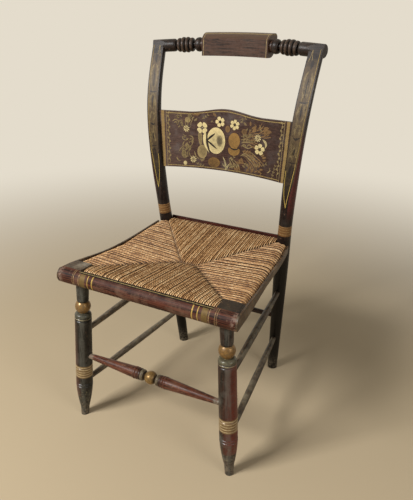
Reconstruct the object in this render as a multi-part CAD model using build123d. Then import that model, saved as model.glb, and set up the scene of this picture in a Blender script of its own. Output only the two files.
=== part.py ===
from build123d import *
import os
from math import atan2, degrees, sqrt

# Stencilled and painted side chair with turned front legs, bent back posts, a turned crest rail
# and a woven rush seat. Millimetres, +Z up, the chair faces -Y, and "right" is the +X side.
# The origin is on the floor, in the middle of the chair's width and depth.

# ---------------------------------------------------------------- driving dimensions
FIT = 0.05  # glue line left round every tenon, dowel and pin
BLIND = 1.0  # gap left beyond the end of a tenon in its blind hole
FAR = 600.0  # reach of the tools that trim to a plane
DATUM_SHIFT = 2.3  # the y values below are drawn from a datum this far in front of the origin

# Front legs: straight, splayed sideways and forwards
FRONT_FOOT = Vector(204.0, -211.0, 0.0)
FRONT_BALL = Vector(185.3, -200.6, 314.5)
FRONT_TENON_R = 9.0
FRONT_TENON_TOP = 395.5

# Back posts: straight leg up to the knee, then bent forwards and back again
REAR_FOOT = Vector(149.0, 200.0, 0.0)
POST_KNEE = Vector(166.0, 162.0, 330.0)
POST_BEND = [
    Vector(173.5, 146.6, 441.4),
    Vector(180.6, 136.1, 543.2),
    Vector(187.9, 132.3, 640.2),
    Vector(194.2, 139.7, 727.5),
    Vector(199.1, 161.5, 805.1),
    Vector(202.3, 183.5, 860.0),
]
# post radius at heights above the floor
POST_RADII = [
    (-12.0, 13.2),
    (110.0, 15.0),
    (290.0, 17.6),
    (405.0, 17.8),
    (455.0, 16.0),
    (540.0, 17.2),
    (640.0, 17.8),
    (760.0, 18.0),
    (880.0, 16.5),
]
POST_STATIONS = 15
# distance from the post's axis to the shaved front face, which runs out to a point at the bottom
FACE_DEPTHS = [
    (470.0, 16.6),
    (543.0, 14.1),
    (600.0, 11.5),
    (660.0, 9.5),
    (728.0, 8.2),
    (805.0, 7.1),
    (880.0, 6.5),
]

# Crest rail: turned straight, then bent backwards. Its axis is an arc through these two points.
CREST_END = Vector(220.0, 186.5, 863.2)
CREST_MIDDLE = Vector(0.0, 215.0, 871.0)
CREST_END_R = 15.0
CREST_END_ROUND = 2.0
CREST_END_INNER = 162.0
NECK_R = 8.5
BARREL_OUTER = 157.5
BARREL_INNER = 114.0
BARREL_RING_R = [16.3, 18.2, 18.2, 16.3]
BARREL_GROOVE_R = 13.5
COLLAR_OUTER = 110.0
COLLAR_R = 16.3
# the pillow's section, as offsets backwards and upwards from the rail's axis
PILLOW_FRONT = -18.5
PILLOW_BACK = 26.0
PILLOW_BOTTOM = -25.3
PILLOW_TOP = 27.2
PILLOW_SHOULDER = 13.6  # where the flat front turns over into the rounded top
PILLOW_FRONT_HALF = 85.5
PILLOW_BACK_HALF = 91.0
CREST_TENON_R = 6.5
CREST_FLAT_INNER = 18.5  # the flat on the rail starts this far inboard of the post's axis
CREST_TENON_LENGTH = 13.0

# Back slat
SLAT_THICKNESS = 8.0
SLAT_BOW = 24.0  # how far the middle is bent back
SLAT_BOTTOM_Z = 572.6
SLAT_TOP_Z = 715.2
SLAT_BOTTOM_HALF = 163.7
SLAT_TOP_HALF = 174.0
SLAT_BOTTOM_Y = 134.4
SLAT_TOP_Y = 138.8
SLAT_ARCH = 5.0  # rise of the hollow bottom edge
SLAT_HUMP = 12.3
SLAT_HUMP_HALF = 105.0
SLAT_TENON = 14.0

# Seat frame
BLOCK_TOP = 416.8
BLOCK_BOTTOM = 381.0
BLOCK_INNER_FRONT = 166.8
BLOCK_INNER_BACK = 165.4
BLOCK_BACK_Y = -178.9
ROLL_BACK_Y = -217.4
ROLL_R = 19.0
ROLL_END_ROUND = 2.0
LIST_R = 8.5
LIST_TENON_R = 6.0
LIST_TENON = 10.0
FRONT_LIST = (-198.0, 403.5)  # y and z of the straight lists
REAR_LIST = (150.6, 413.0)
SIDE_LIST = [Vector(195.0, -178.9, 403.0), Vector(182.0, -27.0, 392.0), Vector(171.5, 135.0, 406.0)]

# Thin casing strips round the seat. The plan line is the outer face of the side strip.
STRIP_THICKNESS = 4.0
STRIP_PLAN = [(190.0, 134.0), (196.5, 70.0), (201.5, -27.0), (212.5, -143.0), (220.2, -237.0)]
STRIP_UPPER = [(139.0, 416.5), (70.0, 409.0), (-27.0, 404.5), (-100.0, 406.0), (-150.0, 411.0), (-205.0, 415.0)]
STRIP_LOWER = [(139.0, 399.5), (70.0, 392.0), (-27.0, 387.0), (-120.0, 384.5), (-205.0, 384.5)]
REAR_STRIP_Y = 167.0
REAR_STRIP_HALF = 163.0
REAR_STRIP_TOP = 425.5
REAR_STRIP_HEIGHT = 21.0

# Rush seat: four fields that fall from the lists to a short seam in the middle
RUSH_FRONT = (-217.3, 418.0, 389.5)  # y, upper z, lower z of the front edge
RUSH_REAR = (166.9, 427.0, 399.0)
RUSH_SIDE = (-27.0, 410.5, 377.5)
RUSH_SEAM = (-29.8, 396.5, 375.0)
RUSH_SEAM_HALF = 19.6
RUSH_WIDE = 230.0  # the fields run past the strips and are trimmed to them
RUSH_NOTCH_X = 156.0
RUSH_NOTCH_Y = 136.0
PAD_CORNERS = [(178.0, -176.5), (167.0, -27.0), (155.0, 134.0)]
PAD_COVER = 7.0  # thickness of the woven rush over and under the stuffing
PAD_GAP = 0.2

# Stretchers: heights where their axes cross the leg axes
FRONT_STRETCHER_Z = 180.4
REAR_STRETCHER_Z = 184.1
UPPER_SIDE_Z = (242.3, 269.5)
LOWER_SIDE_Z = (99.7, 114.1)
STRETCHER_TENON_R = 6.4
STRETCHER_MID_R = 8.4
REAR_STRETCHER_MID_R = 7.6
TENON_SHORT = 6.0  # a stretcher ends this far from the leg's axis
TENON_LENGTH = 15.0

# Pins, dowels and brads
SLAT_PIN_R = 2.0
SLAT_PIN_HEIGHTS = (602.0, 686.0)
SLAT_PIN_X_IN = 11.0  # pin line inboard of the post's axis
CREST_PIN_R = 2.0
DOWEL_R = 4.0
DOWEL_PLACES = [(200.0, 405.0), (176.0, 389.0)]
DOWEL_FRONT_Y = -226.5
DOWEL_BACK_Y = -207.5
BRAD_R = 0.9
BRAD_LENGTH = 14.0
BRAD_HEAD_R = 1.7
BRAD_HEAD = 0.8
SIDE_BRAD_Y = (-197.0, -27.0, 83.0)
REAR_BRAD_X = (50.0, 135.0)
REAR_BRAD_Z = 414.0


# ---------------------------------------------------------------- helpers
def graded(table, where):
    """Value at a place, read off a short table of (place, value) by straight lines."""
    for (low, a), (high, b) in zip(table, table[1:]):
        if where <= high:
            return a + (b - a) * (where - low) / (high - low)
    return table[-1][1]


def turned(start, *steps):
    """Solid turned about Z. A step is a (radius, height) point reached by a straight line, or a
    pair of such points: one that an arc passes through and the one where it ends."""
    edges = []
    here = start
    for step in steps:
        if isinstance(step[0], tuple):
            edges.append(ThreePointArc(here, step[0], step[1]))
            here = step[1]
        else:
            edges.append(Line(here, step))
            here = step
    edges.append(Polyline(here, (0, here[1]), (0, start[1]), start))
    return revolve(Plane.XZ * make_face(edges), Axis.Z)


def groove(radius, height, half=1.4, depth=1.3):
    """Steps of a turned V groove."""
    return [(radius, height - half), (radius - depth, height), (radius, height + half)]


def along(solid, base, tip):
    """Stand a solid made on the Z axis on the point base, pointing at tip."""
    return Plane(origin=base, z_dir=tip - base) * solid


def rod(base, tip, radius):
    """Round bar between two points."""
    return along(Cylinder(radius, (tip - base).length, align=(Align.CENTER, Align.CENTER, Align.MIN)), base, tip)


def below(height):
    """Everything under a level."""
    return Pos(0, 0, height) * Box(FAR, FAR, 2 * FAR, align=(Align.CENTER, Align.CENTER, Align.MAX))


def above(height):
    """Everything over a level."""
    return Pos(0, 0, height) * Box(FAR, FAR, 2 * FAR, align=(Align.CENTER, Align.CENTER, Align.MIN))


def mirrored(solid):
    return mirror(solid, about=Plane.YZ)


def front_axis(height):
    """Point of the right front leg's axis."""
    return FRONT_FOOT + (FRONT_BALL - FRONT_FOOT) * (height / FRONT_BALL.Z)


def rear_axis(height):
    """Point of the right rear leg's axis, below the knee."""
    return REAR_FOOT + (POST_KNEE - REAR_FOOT) * (height / POST_KNEE.Z)


def flipped(point):
    return Vector(-point.X, point.Y, point.Z)


def share_at(line, coordinate, value):
    """Share of a curve's length at which one coordinate, which grows along it, has a value."""
    low, high = 0.0, 1.0
    for _ in range(40):
        share = (low + high) / 2
        if getattr(line @ share, coordinate) < value:
            low = share
        else:
            high = share
    return low


def post_point(axis, height):
    """Point of the post's axis at a height."""
    return axis @ share_at(axis, "Z", height)


# ---------------------------------------------------------------- turned front leg
def front_leg():
    """Foot, long taper, ringed cylinder, ball, and the plain neck that meets the corner block."""
    thick = 20.3
    shoulder = 19.5
    leg = turned(
        (9.7, -6.0),
        (10.4, 15.0),
        (11.4, 26.0),
        ((16.3, 53.0), (20.2, 91.0)),
        *groove(thick, 94.5),
        *groove(thick, 101.5),
        (thick, 145.5),
        *groove(20.2, 148.5),
        *groove(shoulder, 281.0),
        *groove(shoulder, 288.0),
        (shoulder, 292.0),
        ((17.0, 296.8), (10.8, 298.6)),
        (10.8, 300.4),
        ((18.0, 314.5), (12.6, 327.6)),
        (12.6, 329.0),
        (13.7, 332.0),
        (15.2, 386.0),
    )
    base = front_axis(0)
    leg = along(leg, base, FRONT_BALL) & above(0) & below(BLOCK_BOTTOM)
    return leg + rod(front_axis(BLOCK_BOTTOM - 10), front_axis(FRONT_TENON_TOP), FRONT_TENON_R)


# ---------------------------------------------------------------- bent back post
def post_axis():
    """Axis of the right post from under the floor to the crest rail."""
    under = REAR_FOOT + (REAR_FOOT - POST_KNEE) * 0.03
    leg = (POST_KNEE - REAR_FOOT).normalized()
    lean = (POST_BEND[-1] - POST_BEND[-2]).normalized()
    straight = [under, REAR_FOOT + (POST_KNEE - REAR_FOOT) * 0.5, POST_KNEE]
    return Spline(straight + POST_BEND, tangents=[leg, lean])


def shaved_face_tool(axis):
    """Everything in front of the post's flat face. The same cut flattens the crest rail's end."""
    points = []
    for step in range(24):
        share = 0.5 + 0.5 * step / 23
        centre = axis @ share
        if centre.Z < FACE_DEPTHS[0][0]:
            continue
        forward = (axis % share).cross(Vector(1, 0, 0)).normalized()
        spot = centre - forward * graded(FACE_DEPTHS, centre.Z) * (1 if forward.Y > 0 else -1)
        points.append((spot.Y, spot.Z))
    (y1, z1), (y2, z2) = points[-2:]
    reach = 45.0 / (z2 - z1)
    end = (y2 + (y2 - y1) * reach, z2 + (z2 - z1) * reach)
    profile = [
        Spline(points),
        Polyline(points[-1], end, (end[0] - 90, end[1]), (points[0][0] - 60, points[0][1]), points[0]),
    ]
    return extrude(Plane.YZ * make_face(profile), FAR)


def rear_post(axis, crest):
    """Turned, bent, and shaved flat in front, with a round tenon for the crest rail."""
    rings = []
    for step in range(POST_STATIONS):
        share = step / (POST_STATIONS - 1)
        centre = axis @ share
        rings.append(Plane(origin=centre, z_dir=axis % share) * Circle(graded(POST_RADII, centre.Z)))
    post = loft(rings) & above(0)
    post -= crest_bar(crest, CREST_END_INNER, CREST_END.X, Circle(CREST_END_R + FIT))
    post -= shaved_face_tool(axis)
    return post + crest_tenon(crest, axis)


# ---------------------------------------------------------------- crest rail
def crest_line():
    """Bent axis of the crest rail, from its left end to its right end."""
    return ThreePointArc(flipped(CREST_END), CREST_MIDDLE, CREST_END)


def crest_plane(line, x):
    """Plane across the rail. Its own x runs backwards, its y up and its z along the rail."""
    share = share_at(line, "X", x)
    along_rail = line % share
    return Plane(origin=line @ share, x_dir=Vector(0, 0, -1).cross(along_rail) * -1, z_dir=along_rail)


def crest_bar(line, start, end, section):
    """Section swept along part of the bent axis."""
    piece = line.trim(share_at(line, "X", start), share_at(line, "X", end))
    return sweep(crest_plane(line, start) * section, path=piece)


def crest_turnings(line):
    """Ringed barrel, its two necks and the collar by the pillow, on the right half of the rail."""
    ring = (BARREL_OUTER - BARREL_INNER) / len(BARREL_RING_R)
    half = ring / 2
    pieces = []
    for turn, radius in enumerate(BARREL_RING_R):
        first = NECK_R + 1 if turn == 0 else BARREL_GROOVE_R
        last = NECK_R + 1 if turn == len(BARREL_RING_R) - 1 else BARREL_GROOVE_R
        bead = turned((first, -half), ((radius, 0.0), (last, half)))
        pieces.append(crest_plane(line, BARREL_INNER + half + turn * ring) * bead)
    collar = turned((14.0, 84.0 - 97.0), (14.0, -4.0), ((COLLAR_R, 0.0), (COLLAR_R, 6.0)), ((14.5, 10.5), (NECK_R + 1, 13.0)))
    pieces.append(crest_plane(line, 97.0) * collar)
    cap = turned((NECK_R + 1, -3.0), ((CREST_END_R - 2.5, -1.5), (CREST_END_R, 3.0)))
    pieces.append(crest_plane(line, CREST_END_INNER) * cap)
    soft = (CREST_END_R - 0.6, 0.7 * CREST_END_ROUND), (CREST_END_R - CREST_END_ROUND, CREST_END_ROUND)
    pieces.append(crest_plane(line, CREST_END.X - CREST_END_ROUND) * turned((CREST_END_R, 0.0), soft))
    return pieces


def pillow(line):
    """Middle of the rail: flat front, rounded top, flat back, ends cut back from the face."""
    section = [
        Line((PILLOW_FRONT, PILLOW_BOTTOM), (PILLOW_FRONT, PILLOW_SHOULDER)),
        ThreePointArc((PILLOW_FRONT, PILLOW_SHOULDER), (-4.0, 24.0), (13.0, PILLOW_TOP)),
        ThreePointArc((13.0, PILLOW_TOP), (22.0, 25.6), (PILLOW_BACK, 19.0)),
        Line((PILLOW_BACK, 19.0), (17.0, -8.0)),
        ThreePointArc((17.0, -8.0), (8.0, -20.5), (-5.0, PILLOW_BOTTOM)),
        Line((-5.0, PILLOW_BOTTOM), (PILLOW_FRONT, PILLOW_BOTTOM)),
    ]
    body = crest_bar(line, -PILLOW_BACK_HALF - 4, PILLOW_BACK_HALF + 4, make_face(section))
    y1 = (crest_plane(line, PILLOW_FRONT_HALF).from_local_coords(Vector(PILLOW_FRONT, 0, 0))).Y
    y2 = (crest_plane(line, PILLOW_BACK_HALF).from_local_coords(Vector(PILLOW_BACK, 0, 0))).Y
    slope = (PILLOW_BACK_HALF - PILLOW_FRONT_HALF) / (y2 - y1)
    wide_y, wide_x = y2 + 40, PILLOW_BACK_HALF + 40 * slope
    thin_y, thin_x = y1 - 40, PILLOW_FRONT_HALF - 40 * slope
    plan = make_face(
        Polyline((-thin_x, thin_y), (thin_x, thin_y), (wide_x, wide_y), (-wide_x, wide_y), close=True)
    )
    return body & extrude(plan, 2 * FAR)


def crest_rail(line, axis, face_tool):
    """Bent rail, shaved in front where it meets the posts, and bored for their tenons."""
    ends = crest_bar(line, PILLOW_FRONT_HALF - 8, CREST_END_INNER + 6, Circle(NECK_R))
    ends += crest_bar(line, CREST_END_INNER + 3, CREST_END.X - CREST_END_ROUND, Circle(CREST_END_R))
    for piece in crest_turnings(line):
        ends += piece
    inner = POST_BEND[-1].X - CREST_FLAT_INNER
    ends -= face_tool & Pos(inner, 0, 0) * Box(
        FAR, 2 * FAR, 4 * FAR, align=(Align.MIN, Align.CENTER, Align.CENTER)
    )
    ends -= crest_tenon(line, axis, FIT, BLIND)
    return pillow(line) + ends + mirrored(ends)


def crest_tenon(line, axis, wider=0.0, longer=0.0):
    """Round tenon on the top of a post, or its hole in the rail."""
    lean = (axis % 1.0).normalized()
    middle = line @ share_at(line, "X", POST_BEND[-1].X)
    return rod(middle - lean * (CREST_END_R + 9), middle + lean * (CREST_TENON_LENGTH / 2 + longer), CREST_TENON_R + wider)


# ---------------------------------------------------------------- back slat
def slat_board(grow=0.0, longer=0.0):
    """Bent board cut to a humped top and a hollow bottom edge. grow and longer make its mortise."""
    reach = SLAT_TOP_HALF + SLAT_TENON + longer + 20
    radius = (reach**2 + SLAT_BOW**2) / (2 * SLAT_BOW)
    ring = Circle(radius + SLAT_THICKNESS / 2 + grow) - Circle(radius - SLAT_THICKNESS / 2 - grow)
    end_radius = sqrt(radius**2 - SLAT_TOP_HALF**2)
    height = SLAT_TOP_Z - SLAT_BOTTOM_Z
    lean = degrees(atan2(SLAT_TOP_Y - SLAT_BOTTOM_Y, height))
    sheet = Pos(0, -end_radius, -height / 2) * extrude(ring, 2 * height)
    sheet = Pos(0, SLAT_BOTTOM_Y, SLAT_BOTTOM_Z) * Rot(-lean, 0, 0) * sheet
    bottom = SLAT_BOTTOM_Z - grow
    top = SLAT_TOP_Z + grow
    low_half = SLAT_BOTTOM_HALF + SLAT_TENON + longer
    top_half = SLAT_TOP_HALF + SLAT_TENON + longer
    outline = [
        Line((-SLAT_HUMP_HALF, top), (-top_half, top)),
        Line((-top_half, top), (-low_half, bottom)),
        Line((-low_half, bottom), (-SLAT_BOTTOM_HALF + 6, bottom)),
        ThreePointArc(
            (-SLAT_BOTTOM_HALF + 6, bottom), (0, bottom + SLAT_ARCH), (SLAT_BOTTOM_HALF - 6, bottom)
        ),
        Line((SLAT_BOTTOM_HALF - 6, bottom), (low_half, bottom)),
        Line((low_half, bottom), (top_half, top)),
        Line((top_half, top), (SLAT_HUMP_HALF, top)),
        Spline(
            [(SLAT_HUMP_HALF, top), (0, top + SLAT_HUMP), (-SLAT_HUMP_HALF, top)],
            tangents=[(-1, 0), (-1, 0), (-1, 0)],
        ),
    ]
    face = Plane.XZ * make_face(outline)
    return sheet & extrude(face, FAR, dir=(0, 1, 0))


# ---------------------------------------------------------------- seat
def strip_line(shift):
    return Spline([(x + shift, y) for x, y in STRIP_PLAN])


def inside_strips():
    """Space between the inner faces of the two side strips."""
    front = STRIP_PLAN[-1]
    back = STRIP_PLAN[0]
    line = strip_line(-STRIP_THICKNESS)
    edge = [
        line,
        Polyline(line @ 1, (front[0] - 5, front[1] - 60), (0, front[1] - 60), (0, 240), (back[0] - 7, 240), line @ 0),
    ]
    half = extrude(make_face(edge), 2 * FAR)
    return half + mirrored(half)


def strip_edges():
    """Upper and lower edge of a side strip, seen from the side."""
    return Spline(STRIP_UPPER), Spline(STRIP_LOWER)


def roll_point(z):
    """Point on the front of the roll's section at a height."""
    rise = z - (BLOCK_TOP - ROLL_R)
    return Vector(ROLL_BACK_Y - sqrt(ROLL_R**2 - rise**2), z)


def side_strip():
    """Thin strip that follows the dip of the seat's side, laps the block and takes the roll's curve."""
    outer = strip_line(0)
    inner = strip_line(-STRIP_THICKNESS)
    plan = make_face([outer, Line(outer @ 1, inner @ 1), inner, Line(inner @ 0, outer @ 0)])
    upper, lower = strip_edges()
    shoulder, heel = (roll_point((line @ 1).Y) for line in (upper, lower))
    nose = Vector(ROLL_BACK_Y - ROLL_R, BLOCK_TOP - ROLL_R)
    front = [Line(upper @ 1, shoulder), ThreePointArc(shoulder, nose, heel), Line(heel, lower @ 1)]
    side = make_face([upper, *front, lower, Line(lower @ 0, upper @ 0)])
    return extrude(plan, 2 * FAR) & extrude(Plane.YZ * side, FAR)


def corner_block(inside):
    """Flat block that takes the leg from below and a list from each side."""
    plan = make_face(
        Polyline(
            (BLOCK_INNER_FRONT, ROLL_BACK_Y),
            (FAR / 2, ROLL_BACK_Y),
            (FAR / 2, BLOCK_BACK_Y),
            (BLOCK_INNER_BACK, BLOCK_BACK_Y),
            close=True,
        )
    )
    block = Pos(0, 0, BLOCK_BOTTOM) * extrude(plan, BLOCK_TOP - BLOCK_BOTTOM)
    block &= inside
    edges = block.edges().group_by(Axis.Z)[-1].sort_by(Axis.X)
    block = fillet(edges[-1], 5.0)
    return block - rod(front_axis(BLOCK_BOTTOM - 20), front_axis(FRONT_TENON_TOP + BLIND), FRONT_TENON_R + FIT)


def front_roll(inside):
    """Half-round roll along the seat's front edge, with its ends rounded over."""
    section = Plane.YZ * (
        Pos(ROLL_BACK_Y, BLOCK_TOP - ROLL_R) * (Circle(ROLL_R) & Pos(-ROLL_R / 2, 0) * Rectangle(ROLL_R, 2 * ROLL_R))
    )
    roll = extrude(section, FAR / 2, both=True) & inside
    half = STRIP_PLAN[-1][0] - STRIP_THICKNESS
    plan = Pos(0, ROLL_BACK_Y) * Rectangle(2 * half, 2 * ROLL_R)
    plan = fillet(plan.vertices(), ROLL_END_ROUND)
    return roll & extrude(plan, FAR)


def straight_list(place, half):
    y, z = place
    body = rod(Vector(-half, y, z), Vector(half, y, z), LIST_R)
    tip = half + LIST_TENON
    return body + rod(Vector(-tip, y, z), Vector(tip, y, z), LIST_TENON_R)


def list_hole(base, inward):
    """Mortise for a list's tenon, from the shoulder into the wood."""
    return rod(base - inward * 30, base + inward * (LIST_TENON + BLIND), LIST_TENON_R + FIT)


def side_list(grow=0.0):
    line = ThreePointArc(*SIDE_LIST)
    section = Plane(origin=line @ 0, z_dir=line % 0) * Circle(LIST_R + grow)
    return sweep(section, path=line)


def side_list_ends():
    """Shoulder points and outward directions of the side list's two tenons."""
    line = ThreePointArc(*SIDE_LIST)
    return [(line @ 0, (line % 0) * -1), (line @ 1, line % 1)]


def fields(corners, front, middle, rear, seam):
    """Closed slab of four fields that fall to a short seam. Each level is (y, upper z, lower z)."""
    (fx, _), (mx, _), (rx, _) = corners
    rim = [(fx, front), (mx, middle), (rx, rear), (-rx, rear), (-mx, middle), (-fx, front)]
    faces = []
    for side in (1, 2):
        ring = [Vector(x, level[0], level[side]) for x, level in rim]
        right = Vector(RUSH_SEAM_HALF, seam[0], seam[side])
        left = flipped(right)
        f_right, m_right, r_right, r_left, m_left, f_left = ring
        patches = [[f_right, m_right, right], [m_right, r_right, right], [r_right, r_left, left, right]]
        patches += [[r_left, m_left, left], [m_left, f_left, left], [f_left, f_right, right, left]]
        faces += [Face(Wire.make_polygon(patch)) for patch in patches]
        if side == 1:
            upper = ring
    for n in range(len(rim)):
        m = (n + 1) % len(rim)
        faces.append(Face(Wire.make_polygon([upper[n], upper[m], ring[m], ring[n]])))
    return Solid(Shell(faces))


def rush_slab(inside):
    corners = [(RUSH_WIDE, 0), (RUSH_WIDE, 0), (RUSH_WIDE, 0)]
    slab = fields(corners, RUSH_FRONT, RUSH_SIDE, RUSH_REAR, RUSH_SEAM)
    slab = slab & inside
    tall = 2 * FAR
    front = Pos(BLOCK_INNER_BACK, BLOCK_BACK_Y, 0) * Box(200, 200, tall, align=(Align.MIN, Align.MAX, Align.CENTER))
    back = Pos(RUSH_NOTCH_X, RUSH_NOTCH_Y, 0) * Box(200, 200, tall, align=(Align.MIN, Align.MIN, Align.CENTER))
    for tool in (front, back):
        slab = slab - tool - mirrored(tool)
    return slab


def level_at(y, x_share, side):
    """Height of the seat's upper or lower side where a field crosses the stuffing's corner."""
    seam = RUSH_SEAM
    edge = {0: RUSH_FRONT, 1: RUSH_SIDE, 2: RUSH_REAR}[x_share]
    if x_share == 1:
        return seam[side] + (edge[side] - seam[side]) * (PAD_CORNERS[1][0] - RUSH_SEAM_HALF) / (
            RUSH_WIDE - RUSH_SEAM_HALF
        )
    return seam[side] + (edge[side] - seam[side]) * (y - seam[0]) / (edge[0] - seam[0])


def stuffing(gap):
    """Stuffing packed between the upper and lower rush, or its pocket when gap is zero."""
    levels = []
    for n, (x, y) in enumerate(PAD_CORNERS):
        inward = gap if y < 0 else -gap
        y_edge = y if n == 1 else y + inward
        levels.append((y_edge, level_at(y, n, 1) - PAD_COVER - gap, level_at(y, n, 2) + PAD_COVER + gap))
    seam = (RUSH_SEAM[0], RUSH_SEAM[1] - PAD_COVER - gap, RUSH_SEAM[2] + PAD_COVER + gap)
    corners = [(x - gap, y) for x, y in PAD_CORNERS]
    return fields(corners, levels[0], levels[1], levels[2], seam)


# ---------------------------------------------------------------- stretchers
def plain_stretcher(a, b, middle):
    """Round stick, thickest in the middle, with a straight tenon at each end."""
    length = (b - a).length
    first = TENON_SHORT
    body = TENON_SHORT + TENON_LENGTH
    stick = turned(
        (STRETCHER_TENON_R - 0.8, first),
        (STRETCHER_TENON_R, first + 1.0),
        (STRETCHER_TENON_R, body),
        ((middle, length / 2), (STRETCHER_TENON_R, length - body)),
        (STRETCHER_TENON_R, length - first - 1.0),
        (STRETCHER_TENON_R - 0.8, length - first),
    )
    return along(stick, a, b)


def front_stretcher(a, b):
    """Centre ball between two ringed shoulders that taper away to the legs."""
    half = (b - a).length / 2
    root = 8.6
    crest = 13.2
    inner = 17.5
    outer = 43.5
    ring = (outer - inner) / 4
    profile = [(8.0, 14.2), (root, 15.4), (crest - 1.2, inner)]
    for turn in range(4):
        z = inner + turn * ring
        profile += [((crest + 0.4 * turn, z + ring / 2), (crest - 0.8 + 0.4 * turn, z + ring))]
    profile += [(STRETCHER_TENON_R, half - TENON_SHORT - TENON_LENGTH)]
    profile += [(STRETCHER_TENON_R, half - TENON_SHORT - 1), (STRETCHER_TENON_R - 0.8, half - TENON_SHORT)]
    ball_r = 15.2
    right = turned((ball_r, 0.0), ((10.9, 10.6), (7.0, 13.5)), *profile)
    right = Pos(0, 0, half) * right
    left = mirror(right, about=Plane(origin=(0, 0, half), z_dir=(0, 0, 1)))
    return along(right + left, a, b)


def stretcher_hole(a, b):
    """Blind hole in the leg at a for a stretcher that comes from b."""
    inward = (a - b).normalized()
    start = a - inward * (TENON_SHORT + TENON_LENGTH + 25)
    return rod(start, a - inward * (TENON_SHORT - BLIND), STRETCHER_TENON_R + FIT)


# ---------------------------------------------------------------- pins and brads
def brad(head, inward):
    """Brad with its head's outer face at the point head."""
    shank = rod(head, head + inward * BRAD_LENGTH, BRAD_R)
    return shank + rod(head, head + inward * BRAD_HEAD, BRAD_HEAD_R)


def brad_hole(head, inward):
    shank = rod(head - inward, head + inward * (BRAD_LENGTH + BLIND), BRAD_R + FIT)
    return shank + rod(head - inward * 3, head + inward * BRAD_HEAD, BRAD_HEAD_R + FIT)


def side_brad_places():
    places = []
    line = strip_line(0)
    edges = strip_edges()
    for y in SIDE_BRAD_Y:
        level = Line((y, 0), (y, 1000))
        x = (line & Line((0, y), (300, y))).center().X
        z = sum((edge & level).center().Y for edge in edges) / 2
        places.append((Vector(x, y, z), Vector(-1, 0, 0)))
    return places


def rear_brad_places():
    y = REAR_STRIP_Y + STRIP_THICKNESS
    return [(Vector(s * x, y, REAR_BRAD_Z), Vector(0, -1, 0)) for x in REAR_BRAD_X for s in (1, -1)]


def slat_pin(axis_point, longer=0.0, wider=0.0):
    spot = axis_point - Vector(SLAT_PIN_X_IN, 0, 0)
    half_chord = sqrt(graded(POST_RADII, spot.Z) ** 2 - SLAT_PIN_X_IN**2)
    outer = spot + Vector(0, half_chord + (5 if wider else -0.3), 0)
    return rod(outer, spot - Vector(0, 6.5 + longer, 0), SLAT_PIN_R + wider)


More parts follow.
